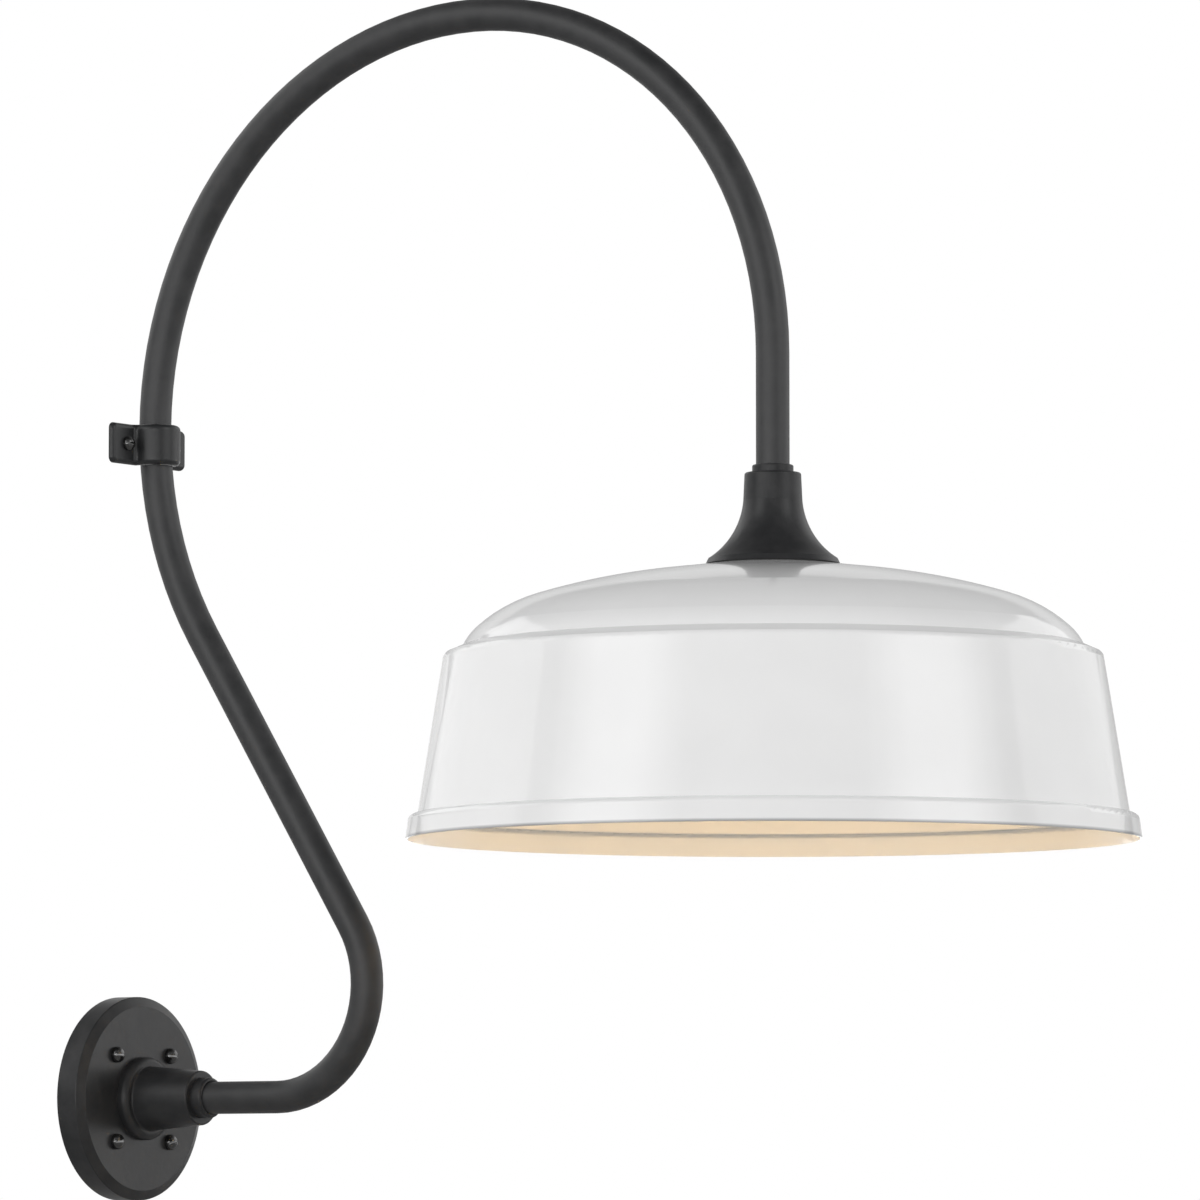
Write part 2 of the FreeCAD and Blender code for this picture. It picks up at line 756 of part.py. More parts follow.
def make_ground_lead():
    """A ring lug under the ground screw, whose tongue carries the lead clear of the boss
    before it turns back to the outlet box."""
    body = new_body("ground_lead")
    low = canopy_inside - size.ground_boss_height - size.ground_lug_thickness
    lug = new_sketch(body, "ground_lead_lug", "XY_Plane", z=low)
    draw_circle(lug, size.ground_lug_radius, y=size.ground_offset)
    draw_circle(lug, size.ground_screw_radius + size.tapped_hole_fit, y=size.ground_offset)
    pad(body, lug, size.ground_lug_thickness)
    start = size.ground_offset - size.ground_boss_radius - size.ground_lead_gap
    tongue = new_sketch(body, "ground_lead_tongue", "XY_Plane", z=low)
    half = size.ground_lug_tongue_width / 2
    root_level = size.ground_offset - size.ground_lug_radius + size.ground_lug_grip
    draw(tongue, [(-half, start - size.ground_lug_grip), (half, start - size.ground_lug_grip),
                  (half, root_level), (-half, root_level)])
    pad(body, tongue, size.ground_lug_thickness)
    level = low + size.ground_lug_thickness / 2
    bend = size.ground_offset - size.ground_lead_run
    tail = bend - size.ground_lead_bend_radius
    path = new_sketch(body, "ground_lead_path", "YZ_Plane")
    draw(path, [
        (start, level),
        (bend, level),
        (tail, level - size.ground_lead_bend_radius, size.ground_lead_bend_radius),
        (tail, size.wire_tail_height),
    ], closed=False)
    section = new_sketch(body, "ground_lead_section", "XZ_Plane", z=-start)
    draw_circle(section, size.ground_lead_radius, y=level)
    sweep(body, section, path)
    seat(body, OUT_FROM_WALL)


# Gooseneck tube and wires

def sweep(body, section, path):
    piped = body.newObject("PartDesign::AdditivePipe", body.Name + "_pipe")
    piped.Profile = section
    piped.Spine = path
    doc.recompute()


def draw_arm_path(path, start, end_rise):
    """The tube's centre line in reach and rise, from a start near the wall to its lower end."""
    draw(path, [
        (start, NOTHING),
        (size.arm_run, NOTHING),
        (bend_reach, bend_rise, size.lower_bend_radius),
        (rise_reach, rise_top),
        (crown_reach, crown_rise, -size.upper_bend_radius),
        (head_reach, drop_top, -size.drop_bend_radius),
        (head_reach, end_rise),
    ], closed=False)


def make_arm():
    body = new_body("arm")
    path = new_sketch(body, "arm_path", "XZ_Plane")
    draw_arm_path(path, hub_socket_floor, tube_end_rise)
    section = new_sketch(body, "arm_section", "YZ_Plane", z=hub_socket_floor)
    draw_circle(section, size.tube_radius)
    draw_circle(section, size.tube_radius - size.tube_wall)
    sweep(body, section, path)
    seat(body, ALONG_ARM)


def make_wire(name, side):
    """One lamp wire, beside the tube's centre line from the canopy to the socket."""
    body = new_body(name)
    path = new_sketch(body, name + "_path", "XZ_Plane", z=-side)
    draw_arm_path(path, size.wire_tail_height, head_rise + socket_top - size.wire_socket_depth)
    section = new_sketch(body, name + "_section", "YZ_Plane", z=size.wire_tail_height)
    draw_circle(section, size.wire_radius, x=side)
    sweep(body, section, path)
    seat(body, ALONG_ARM)


# Strap clamp

def make_clamp_strap():
    """A cast strap: a saddle that wraps the tube's front, between two flat ears."""
    body = new_body("clamp_strap")
    inside = size.tube_radius + size.clamp_clearance
    outside = inside + size.clamp_wall
    back = clamp_back - clamp_reach
    face = clamp_face - clamp_reach
    turn_in = size.clamp_root_round
    plan = new_sketch(body, "clamp_strap_plan", "XY_Plane", z=-size.clamp_height / 2)
    draw(plan, [
        (size.clamp_half_span, back),
        (size.clamp_half_span, face),
        (outside + turn_in, face),
        (outside, face + turn_in, -turn_in),
        (outside, NOTHING),
        (NOTHING, outside, outside),
        (-outside, NOTHING, outside),
        (-outside, face + turn_in),
        (-outside - turn_in, face, -turn_in),
        (-size.clamp_half_span, face),
        (-size.clamp_half_span, back),
        (-inside, back),
        (-inside, NOTHING),
        (NOTHING, inside, -inside),
        (inside, NOTHING, -inside),
        (inside, back),
    ])
    pad(body, plan, size.clamp_height)
    soften(body, "Fillet", ear_corners(body), size.clamp_ear_round)
    soften(body, "Fillet", round_edges(body, outside, -size.clamp_height / 2),
           size.clamp_edge_round)
    hole = new_sketch(body, "clamp_strap_hole", "XZ_Plane", x=size.clamp_screw_offset)
    draw_circle(hole, size.clamp_screw_radius + size.clamp_screw_clearance)
    hole_cut = cut(body, hole)
    mirror(body, [hole_cut], "YZ_Plane")
    seat(body, FreeCAD.Rotation(FreeCAD.Vector(0, 0, 1), 180), y=-clamp_reach, z=clamp_level)


def ear_corners(body):
    """The four short edges at the outer corners of the two ears."""
    names = []
    for number, edge in enumerate(body.Tip.Shape.Edges, 1):
        box = edge.BoundBox
        outer = abs(abs(box.Center.x) - size.clamp_half_span.value) < TINY
        short = abs(box.YLength - size.clamp_ear_thickness.value) < TINY
        if outer and short and box.ZLength < TINY:
            names.append(f"Edge{number}")
    return names


def make_clamp_screws():
    body = new_body("clamp_screws")
    screw = add_screw(body, size.clamp_head_radius, size.clamp_head_height,
                      size.clamp_screw_radius, size.clamp_ear_thickness,
                      size.clamp_screw_reach, x=size.clamp_screw_offset, level=clamp_face)
    mirror(body, screw, "YZ_Plane")
    seat(body, OUT_FROM_WALL, z=clamp_level)


# Bell fitter and shade

def head_circle(body, name, level, radius, x=NOTHING, y=NOTHING):
    """A sketch of one circle beside the head's axis, at a level."""
    sketch = new_sketch(body, name, "XY_Plane", z=level)
    draw_circle(sketch, radius, x=x, y=y)
    return sketch


def make_bell_fitter():
    inside_lip = size.bell_lip_radius - size.bell_wall
    body = new_body("bell_fitter")
    turn_outline(body, [
        (inside_lip, NOTHING, size.bell_inside_flare_radius),
        (size.bell_lip_radius, NOTHING),
        (size.bell_lip_top_radius, size.bell_lip_height),
        (size.bell_waist_radius, size.bell_waist_height, -size.bell_flare_radius),
        (size.bell_top_radius, size.bell_height),
        (tube_bore, size.bell_height),
        (tube_bore, tube_seat),
        (size.bell_throat_radius, tube_seat),
        (size.bell_throat_radius, size.bell_inside_height),
        (size.bell_inside_top_radius, size.bell_inside_height),
    ])
    soften(body, "Fillet", round_edges(body, size.bell_top_radius, size.bell_height),
           size.bell_top_round)
    offset = size.fitter_screw_circle / 2
    boss = pad(body, head_circle(body, "bell_boss", NOTHING, size.fitter_boss_radius, y=offset),
               size.fitter_boss_height)
    tapped_radius = size.fitter_screw_radius + size.tapped_hole_fit
    hole = head_circle(body, "bell_tapped", -size.overrun, tapped_radius, y=offset)
    tapped = cut(body, hole,
                 size.fitter_screw_depth + size.tapped_hole_spare + size.overrun)
    ring_pattern(body, [boss, tapped], FITTER_SCREWS)
    seat_at_head(body)


def make_drilled_ring(name, inner, outer, low, high):
    """A flat ring at the head, drilled for the screws that clamp the shade."""
    body = new_body(name)
    turn_outline(body, [(inner, low), (outer, low), (outer, high), (inner, high)])
    clear = size.fitter_screw_radius + size.fitter_screw_clearance
    hole = cut(body, head_circle(body, name + "_hole", high, clear,
                                 y=size.fitter_screw_circle / 2))
    ring_pattern(body, [hole], FITTER_SCREWS)
    return body


def make_fitter_gasket():
    body = make_drilled_ring("fitter_gasket", size.fitter_gasket_hole_radius,
                            size.bell_lip_radius - size.fitter_gasket_margin, shade_top, NOTHING)
    seat_at_head(body)


def make_socket_plate():
    body = make_drilled_ring("socket_plate", size.plate_hole_radius, size.plate_radius,
                            socket_top, plate_top)
    radius = size.socket_screw_radius + size.tapped_hole_fit
    hole = cut(body, head_circle(body, "socket_plate_tapped", plate_top, radius,
                                 x=size.socket_screw_offset))
    ring_pattern(body, [hole], SOCKET_SCREWS)
    seat_at_head(body)


def make_fitter_screws():
    body = new_body("fitter_screws")
    turn_outline(body, pan_screw(size.fitter_head_radius, size.fitter_head_height,
                                 size.fitter_screw_radius, socket_top, size.fitter_screw_depth),
                 y=size.fitter_screw_circle / 2)
    ring_pattern(body, [body.Tip], FITTER_SCREWS)
    seat_at_head(body)


def pan_screw(head_radius, head_height, shank_radius, bearing, tip):
    """Outline of a pan-head screw driven upward: its head bears at one level and its
    shank ends at another."""
    corner = head_height / 2
    return [
        (NOTHING, bearing - head_height),
        (head_radius - corner, bearing - head_height),
        (head_radius, bearing - corner, corner),
        (head_radius, bearing),
        (shank_radius, bearing),
        (shank_radius, tip),
        (NOTHING, tip),
    ]


# Lamp socket and lamp

def make_socket_body():
    body = new_body("socket_body")
    cavity = size.shell_radius + size.shell_fit
    flange_low = socket_top - size.socket_flange_thickness
    turn_outline(body, [
        (NOTHING, socket_ceiling),
        (cavity, socket_ceiling),
        (cavity, socket_mouth),
        (size.socket_body_radius, socket_mouth),
        (size.socket_body_radius, flange_low),
        (size.socket_flange_radius, flange_low),
        (size.socket_flange_radius, socket_top),
        (NOTHING, socket_top),
    ])
    soften(body, "Fillet", round_edges(body, size.socket_body_radius, socket_mouth),
           size.socket_edge_round)
    soften(body, "Fillet", round_edges(body, size.socket_flange_radius, flange_low),
           size.socket_edge_round)
    clear = size.socket_screw_radius + size.socket_screw_clearance
    screw_hole = cut(body, head_circle(body, "socket_body_hole", socket_top, clear,
                                       x=size.socket_screw_offset))
    wire_hole = cut(body, head_circle(body, "socket_body_wire_hole", socket_top + size.overrun,
                                      size.wire_radius + size.wire_fit, x=size.wire_spacing / 2),
                    size.wire_socket_depth + size.overrun, upward=False)
    ring_pattern(body, [screw_hole, wire_hole], SOCKET_SCREWS)
    seat_at_head(body)


def make_socket_shell():
    inner = size.shell_radius - size.shell_wall
    body = turned_body("socket_shell", [
        (size.shell_radius - size.shell_shelf, socket_ceiling),
        (size.shell_radius - size.shell_shelf, socket_ceiling - size.shell_wall),
        (inner, socket_ceiling - size.shell_wall),
        (inner, shell_mouth),
        (size.shell_radius, shell_mouth),
        (size.shell_radius, socket_ceiling),
    ])
    seat_at_head(body)


def make_centre_contact():
    body = turned_body("centre_contact", [
        (NOTHING, contact_face),
        (size.contact_radius, contact_face),
        (size.contact_radius, socket_ceiling),
        (NOTHING, socket_ceiling),
    ])
    seat_at_head(body)


def make_socket_screws():
    body = new_body("socket_screws")
    bearing = socket_top - size.socket_flange_thickness
    turn_outline(body, pan_screw(size.socket_head_radius, size.socket_head_height,
                                 size.socket_screw_radius, bearing,
                                 plate_top + size.socket_screw_stand),
                 x=size.socket_screw_offset)
    ring_pattern(body, [body.Tip], SOCKET_SCREWS)
    seat_at_head(body)


def make_lamp_base():
    """Thin metal cup of the lamp, turned in towards its contact."""
    wall = size.lamp_base_wall
    taper = size.lamp_base_taper
    body = turned_body("lamp_base", [
        (size.lamp_cap_radius, lamp_base_top - wall),
        (lamp_base_radius - taper - wall, lamp_base_top - wall),
        (lamp_base_radius - wall, lamp_base_top - taper - wall),
        (lamp_base_radius - wall, lamp_base_mouth),
        (lamp_base_radius, lamp_base_mouth),
        (lamp_base_radius, lamp_base_top - taper),
        (lamp_base_radius - taper, lamp_base_top),
        (size.lamp_cap_radius, lamp_base_top),
    ])
    seat_at_head(body)


def make_lamp_insulator():
    top = lamp_base_top + size.lamp_insulator_height
    low = lamp_base_top - size.lamp_base_wall
    body = turned_body("lamp_insulator", [
        (NOTHING, low),
        (size.lamp_cap_radius, low),
        (size.lamp_cap_radius, lamp_base_top),
        (size.lamp_tip_radius, top),
        (NOTHING, top),
    ])
    seat_at_head(body)


def make_lamp_tip():
    low = lamp_base_top + size.lamp_insulator_height
    body = turned_body("lamp_tip", [
        (NOTHING, low),
        (size.lamp_tip_radius, low),
        (NOTHING, lamp_top, cap_radius(size.lamp_tip_radius, size.lamp_tip_height)),
    ])
    seat_at_head(body)


def make_lamp_glass():
    neck = lamp_base_radius - size.lamp_base_wall - size.lamp_neck_fit
    across, down = BULB_JOINT_SHARES
    corners = [
        (neck, lamp_base_mouth + size.lamp_neck_hold),
        (neck, lamp_base_mouth - size.lamp_neck_length),
        (size.lamp_bulb_radius * across, lamp_base_mouth - size.lamp_glass_length * down),
        (NOTHING, lamp_base_mouth - size.lamp_glass_length, -size.lamp_bulb_radius),
    ]
    glass = make_spun_sheet("lamp_glass", corners, -size.lamp_glass_wall)
    seat_at_head(glass)


def shade_outline():
    """The outside of the shade as an open line, from the rim up to the hole in its top."""
    rim = size.shade_radius
    lip_top = shade_rim + size.shade_lip_height
    corners = [
        (rim, shade_rim),
        (rim - size.shade_lip_slant, lip_top - size.shade_lip_round),
        (rim - size.shade_lip_slant - size.shade_lip_round, lip_top, size.shade_lip_round),
        (rim - size.shade_lip_slant - size.shade_lip_step, lip_top),
    ]
    for across, up, curve in SHOULDER_POINT_SHARES + DOME_POINT_SHARES:
        corner = (rim * across, shade_rim + size.shade_height * up)
        corners.append(corner + (rim * curve,) if curve else corner)
    corners.append((size.bell_lip_radius + size.shade_flat_margin, shade_top))
    corners.append((size.shade_hole_radius, shade_top))
    return corners


def make_spun_sheet(name, corners, thickness):
    """A sheet of even thickness: its outer outline is thickened and turned."""
    outline = doc.addObject("Sketcher::SketchObject", name + "_outline")
    outline.Placement = FreeCAD.Placement(FreeCAD.Vector(), OUT_FROM_WALL)
    draw(outline, corners, closed=False)
    band = doc.addObject("Part::Offset2D", name + "_band")
    band.Source = outline
    band.Value = thickness.value
    bind(band, "Value", thickness)
    band.Mode = "Skin"
    band.Join = "Arc"
    band.Fill = True
    turned = doc.addObject("Part::Revolution", name)
    turned.Source = band
    turned.Axis = FreeCAD.Vector(0, 0, 1)
    turned.Angle = 360
    turned.Solid = True
    doc.recompute()
    return turned


def make_shade():
    """Spun and enamelled sheet, drilled in its flat top for the screws of the bell."""
    sheet = make_spun_sheet("shade_sheet", shade_outline(), size.shade_thickness)
    drills = []
    for number in range(FITTER_SCREWS):
        drill = doc.addObject("Part::Cylinder", f"shade_drill_{number}")
        radius = size.fitter_screw_radius + size.fitter_screw_clearance
        depth = size.shade_thickness + size.overrun * 2
        drill.Radius = radius.value
        drill.Height = depth.value
        bind(drill, "Radius", radius)
        bind(drill, "Height", depth)
        angle = QUARTER_TURN * (4 * number / FITTER_SCREWS)
        seat(drill, EVEN, x=size.fitter_screw_circle / 2 * sine(angle),
             y=size.fitter_screw_circle / 2 * cosine(angle), z=plate_top - size.overrun)
        drills.append(drill)
    drill_set = doc.addObject("Part::MultiFuse", "shade_drills")
    drill_set.Shapes = drills
    shade = doc.addObject("Part::Cut", "shade")
    shade.Base = sheet
    shade.Tool = drill_set
    shade.Label = "shade"
    seat_at_head(shade)
    doc.recompute()


# Checking and writing

def find_pieces():
    """The finished pieces: every body, and the turned sheets by their labels."""
    bodies = [item for item in doc.Objects if item.TypeId == "PartDesign::Body"]
    return bodies + [doc.getObject("shade"), doc.getObject("lamp_glass")]


def check_model(pieces):
    """Stops at any failed object, empty or broken shape, or sheet formula that strays."""
    for item in doc.Objects:
        if "Invalid" in item.State or "Error" in item.State:
            raise RuntimeError(f"{item.Name} failed: {item.State}")
    for piece in pieces:
        if piece.Shape.isNull() or not piece.Shape.isValid():
            raise RuntimeError(f"{piece.Label} has no sound shape")
    for name, length in place.lengths.items():
        if abs(float(getattr(place.sheet, name)) - length.value) > TINY:
            raise RuntimeError(f"{name} differs between sheet and model")


def write_pieces(pieces):
    os.makedirs("parts", exist_ok=True)
    for piece in pieces:
        piece.Shape.exportStep(f"parts/{piece.Label}.step")
        print(f"{piece.Label}: {len(piece.Shape.Solids)} solid(s), {piece.Shape.Volume:.0f} mm3")


def make_wall_side():
    make_canopy()
    make_wall_gasket()
    make_canopy_screws()
    make_hub()
    make_hub_washer()
    make_hub_locknut()
    make_wire_bushing()
    make_lock_ring("hub_ring", size.hub_ring_radius, hub_front, size.hub_ring_length,
                   size.hub_ring_round, OUT_FROM_WALL)
    make_ground_screw()
    make_ground_lead()


def make_gooseneck():
    make_arm()
    make_wire("hot_wire", size.wire_spacing / 2)
    make_wire("neutral_wire", -size.wire_spacing / 2)
    make_clamp_strap()
    make_clamp_screws()


def make_head():
    make_lock_ring("neck_ring", size.neck_ring_radius, size.bell_height, size.neck_ring_length,
                   size.neck_ring_round, EVEN, y=-head_reach, z=head_rise)
    make_bell_fitter()
    make_fitter_gasket()
    make_shade()
    make_socket_plate()
    make_fitter_screws()
    make_socket_body()
    make_socket_shell()
    make_centre_contact()
    make_socket_screws()
    make_lamp_base()
    make_lamp_insulator()
    make_lamp_tip()
    make_lamp_glass()


make_wall_side()
make_gooseneck()
make_head()
doc.recompute()
all_pieces = find_pieces()
check_model(all_pieces)
write_pieces(all_pieces)
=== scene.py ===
# %% [markdown]
# # A barn light on a gooseneck tube
#
# The light has a round canopy on the wall, a bent tube, a cast bell and a wide enamelled
# shade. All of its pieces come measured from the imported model, in metres: the wall is the
# plane Y = 0, the light stands out along -Y, +Z is up and the tube bends in the plane X = 0.
# Loading the model first means that nothing here has to be fitted by eye.

# %% Load the measured pieces
import math
from collections import namedtuple

import bmesh
import bpy
from mathutils import Matrix, Vector


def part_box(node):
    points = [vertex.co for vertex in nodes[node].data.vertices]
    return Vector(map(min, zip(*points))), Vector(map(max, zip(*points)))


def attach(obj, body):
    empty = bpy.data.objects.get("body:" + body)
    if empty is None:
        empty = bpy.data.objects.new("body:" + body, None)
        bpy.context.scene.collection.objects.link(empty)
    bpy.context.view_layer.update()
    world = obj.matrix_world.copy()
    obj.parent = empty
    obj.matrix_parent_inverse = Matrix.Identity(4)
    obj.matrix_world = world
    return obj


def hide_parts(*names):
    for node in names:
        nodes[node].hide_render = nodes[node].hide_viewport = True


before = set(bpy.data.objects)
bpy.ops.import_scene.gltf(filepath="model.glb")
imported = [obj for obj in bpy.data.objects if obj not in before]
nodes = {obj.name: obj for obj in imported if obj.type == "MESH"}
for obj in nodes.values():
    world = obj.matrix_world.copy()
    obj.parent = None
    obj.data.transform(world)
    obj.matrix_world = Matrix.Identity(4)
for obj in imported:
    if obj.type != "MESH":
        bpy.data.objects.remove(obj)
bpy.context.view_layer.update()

MM = 0.001

# %% [markdown]
# ## The camera
#
# The picture was taken from far away with a long lens, from a little below the canopy and
# well round to the side. A long lens keeps the rim of the shade a thin ellipse. The camera
# is placed by its direction and its distance from one point of the light.

# %% Camera
CAMERA_TURN = math.radians(-55.278)
CAMERA_TILT = math.radians(-4.581)
CAMERA_DISTANCE = 5.4759
CAMERA_AIM = Vector((-0.00025, -0.42555, 0.34563))
LENS, SENSOR_WIDTH = 234.04, 36.0
NEAREST_SEEN, FARTHEST_SEEN = 0.1, 60.0


def direction(turn, tilt):
    """A level turn from straight ahead of the wall and a tilt up, as a direction."""
    level = math.cos(tilt)
    return Vector((math.sin(turn) * level, -math.cos(turn) * level, math.sin(tilt)))


def link_object(name, data):
    """Adds an object with this data to the scene."""
    thing = bpy.data.objects.new(name, data)
    bpy.context.scene.collection.objects.link(thing)
    return thing


to_camera = direction(CAMERA_TURN, CAMERA_TILT)
camera = link_object("camera", bpy.data.cameras.new("camera"))
camera.data.lens = LENS
camera.data.sensor_width = SENSOR_WIDTH
camera.data.clip_start = NEAREST_SEEN
camera.data.clip_end = FARTHEST_SEEN
camera.location = CAMERA_AIM + to_camera * CAMERA_DISTANCE
camera.rotation_euler = to_camera.to_track_quat("Z", "Y").to_euler()
bpy.context.scene.camera = camera
bpy.context.scene.view_settings.view_transform = "Standard"
print("camera at", [round(value, 3) for value in camera.location])

# %% [markdown]
# ## The studio
#
# Gloss enamel shows whatever stands round it, so the studio matters as much as the paint.
# The camera sees a plain white backdrop, while the light and the mirror images come from
# surroundings of their own: bright up to level height, dark in a belt just above it, half
# bright higher up and dark straight overhead. The bright part lights the castings from
# below. The dark belt gives the enamel a grey outline against the white, and the half-bright
# part shows in the dome of the shade, which is why the dome looks greyer than the side.

# %% Backdrop and surroundings
WHITE = (1.0, 1.0, 1.0, 1.0)
# Brightness of the surroundings, where -1 is straight down, 0 level and 1 straight up.
SURROUNDINGS = {-1.0: 0.50, -0.02: 1.0, 0.08: 0.0, 0.34: 0.45, 0.70: 0.39, 1.0: 0.0}


def add_node(owner, kind, **values):
    """Adds a node to a finish or to the world and sets its inputs by name, with _ for a
    space."""
    node = owner.node_tree.nodes.new(kind)
    for key, value in values.items():
        node.inputs[key.replace("_", " ")].default_value = value
    return node


def feed(owner, source, target):
    """Leads one node's output to another node's input."""
    owner.node_tree.links.new(source, target)


world = bpy.data.worlds.new("studio")
bpy.context.scene.world = world
world.use_nodes = True
world.node_tree.nodes.clear()
facing = add_node(world, "ShaderNodeTexCoord")
split = add_node(world, "ShaderNodeSeparateXYZ")
height = add_node(world, "ShaderNodeMapRange", From_Min=-1.0)
shades = add_node(world, "ShaderNodeValToRGB")
stops = shades.color_ramp.elements
while len(stops) < len(SURROUNDINGS):
    stops.new(0.5)
for stop, (rise, brightness) in zip(stops, SURROUNDINGS.items()):
    stop.position = (rise + 1) / 2
    stop.color = (brightness, brightness, brightness, 1.0)
surround = add_node(world, "ShaderNodeBackground")
backdrop = add_node(world, "ShaderNodeBackground", Color=WHITE, Strength=1.0)
ray = add_node(world, "ShaderNodeLightPath")
choose = add_node(world, "ShaderNodeMixShader")
output = add_node(world, "ShaderNodeOutputWorld")
feed(world, facing.outputs["Generated"], split.inputs[0])
feed(world, split.outputs["Z"], height.inputs["Value"])
feed(world, height.outputs[0], shades.inputs["Fac"])
feed(world, shades.outputs["Color"], surround.inputs["Color"])
feed(world, ray.outputs["Is Camera Ray"], choose.inputs["Fac"])
feed(world, surround.outputs[0], choose.inputs[1])
feed(world, backdrop.outputs[0], choose.inputs[2])
feed(world, choose.outputs[0], output.inputs["Surface"])
print("surroundings with", len(stops), "levels")

# %% [markdown]
# ## The floor
#
# The floor is one round sheet, well below the light. A sheet with corners would show its
# outline from above. Its paint comes later, with the other finishes.

# %% Floor
FLOOR_LEVEL, FLOOR_REACH = -0.30, 5.8
FLOOR_SIDES = 96
floor_mesh = bpy.data.meshes.new("floor")
floor_mesh.from_pydata(
    [(FLOOR_REACH * math.cos(math.tau * side / FLOOR_SIDES),
      FLOOR_REACH * math.sin(math.tau * side / FLOOR_SIDES), FLOOR_LEVEL)
     for side in range(FLOOR_SIDES)], [], [tuple(range(FLOOR_SIDES))])
floor = link_object("floor", floor_mesh)
print("floor at", FLOOR_LEVEL)

# %% [markdown]
# ## Soft boxes and panels
#
# Two tall soft boxes stand left and right of the camera. Each one draws one upright bright
# band on the side of the shade. A band should fade at its edges, so each of these boxes has
# two dimmer strips on either side. The strips stand beside the box, because lights in the
# same place would hide one another. Two wider boxes further round light the flanks.
#
# Low panels stand round the light below the boxes: the black tube and castings show little
# colour of their own, so their shape is drawn by what they mirror. Three dim panels stand
# behind the light. A glossy edge seen at a glance mirrors what is behind it, so they set how
# bright the outer edges of the shade and the canopy are.

# %% Soft boxes
SHADE_AXIS = Vector((0.0, -0.570905, 0.0))
BOX_AWAY = 6.0
TALL, LOW, BEHIND_LOW, BEHIND_HIGH = (1.0, 5.0), (-0.3, 1.0), (-0.3, 1.1), (1.1, 3.4)
# Degrees beside the camera, spread in degrees, levels in metres, brightness.
BOXES = {
    "soft_box_left": (-55.0, 34.0, TALL, 2.54),
    "soft_box_right": (54.5, 35.0, TALL, 2.69),
    "soft_box_back_left": (-119.0, 62.0, TALL, 1.155),
    "soft_box_back_right": (119.0, 62.0, TALL, 0.962),
    "panel_left": (-56.0, 32.0, LOW, 0.67),
    "panel_front_left": (-26.0, 28.0, LOW, 5.08),
    "panel_front": (0.0, 24.0, LOW, 3.78),
    "panel_right": (75.0, 30.0, LOW, 0.82),
    "panel_back_right": (108.0, 36.0, LOW, 1.785),
    "panel_behind_left": (-165.0, 30.0, BEHIND_LOW, 0.74),
    "panel_behind_right": (165.0, 30.0, BEHIND_LOW, 0.50),
    "panel_behind_high": (180.0, 60.0, BEHIND_HIGH, 0.34),
}
SOFT_EDGED = ("soft_box_left", "soft_box_right")
# Place and width as shares of the spread, and the share of the brightness.
STRIPS = {"outer_left": (-0.585, 0.17, 0.33), "inner_left": (-0.415, 0.17, 0.67),
          "middle": (0.0, 0.66, 1.0),
          "inner_right": (0.415, 0.17, 0.67), "outer_right": (0.585, 0.17, 0.33)}
WHOLE = {"whole": (0.0, 1.0, 1.0)}


def soft_box(name, beside, spread, levels, glow):
    """A soft box at a level angle beside the camera, seen from the shade's axis. Its
    brightness is 1 where a white sheet in full light would be."""
    low, high = levels
    light = bpy.data.lights.new(name, "AREA")
    light.shape = "RECTANGLE"
    light.size = 2 * BOX_AWAY * math.tan(math.radians(spread / 2))
    light.size_y = high - low
    light.energy = glow * math.pi * light.size * light.size_y
    box = link_object(name, light)
    aim = direction(CAMERA_TURN + math.radians(beside), 0.0)
    box.location = SHADE_AXIS + Vector((0.0, 0.0, (low + high) / 2)) + aim * BOX_AWAY
    box.rotation_euler = aim.to_track_quat("Z", "Y").to_euler()
    box.visible_camera = False


for name, (beside, spread, levels, glow) in BOXES.items():
    for part, (place, width, share) in (STRIPS if name in SOFT_EDGED else WHOLE).items():
        soft_box(f"{name}_{part}", beside + place * spread, width * spread, levels,
                 share * glow)
print("soft boxes:", sorted(BOXES))

# %% [markdown]
# ## Tools for finishes
#
# A finish is built from soft random spots at the real size of its grain. The same spots can
# tint the colour, vary the gloss and raise the surface. The spots are placed by the object's
# own metres, so 0.4 mm of grain is 0.4 mm on every piece.

# %% Finish tools
# The spots seldom leave the middle of 0 to 1, so the full change is spread over that part.
TINT_FROM, TINT_TO = 0.35, 0.65
GLOSS_FROM, GLOSS_TO = 0.3, 0.7


def new_finish(name):
    finish = bpy.data.materials.new(name)
    finish.use_nodes = True
    return finish


def shader_of(finish):
    return finish.node_tree.nodes["Principled BSDF"]


def grey(value):
    return (value, value, value)


def spots(finish, grain, detail=2.0):
    """Soft random spots of about this size in metres, as a number from 0 to 1."""
    where = add_node(finish, "ShaderNodeTexCoord")
    noise = add_node(finish, "ShaderNodeTexNoise", Scale=1 / grain, Detail=detail)
    feed(finish, where.outputs["Object"], noise.inputs["Vector"])
    return noise.outputs[0]


def tint(finish, pattern, low, high):
    """Colours the surface from one colour to the other by a pattern."""
    ramp = add_node(finish, "ShaderNodeValToRGB")
    for stop, place, colour in zip(ramp.color_ramp.elements, (TINT_FROM, TINT_TO),
                                   (low, high)):
        stop.position = place
        stop.color = (*colour, 1.0)
    feed(finish, pattern, ramp.inputs["Fac"])
    feed(finish, ramp.outputs["Color"], shader_of(finish).inputs["Base Color"])


def vary_gloss(finish, pattern, low, high):
    """Moves the roughness between two values by a pattern."""
    ranged = add_node(finish, "ShaderNodeMapRange", From_Min=GLOSS_FROM, From_Max=GLOSS_TO,
                      To_Min=low, To_Max=high)
    feed(finish, pattern, ranged.inputs["Value"])
    feed(finish, ranged.outputs[0], shader_of(finish).inputs["Roughness"])


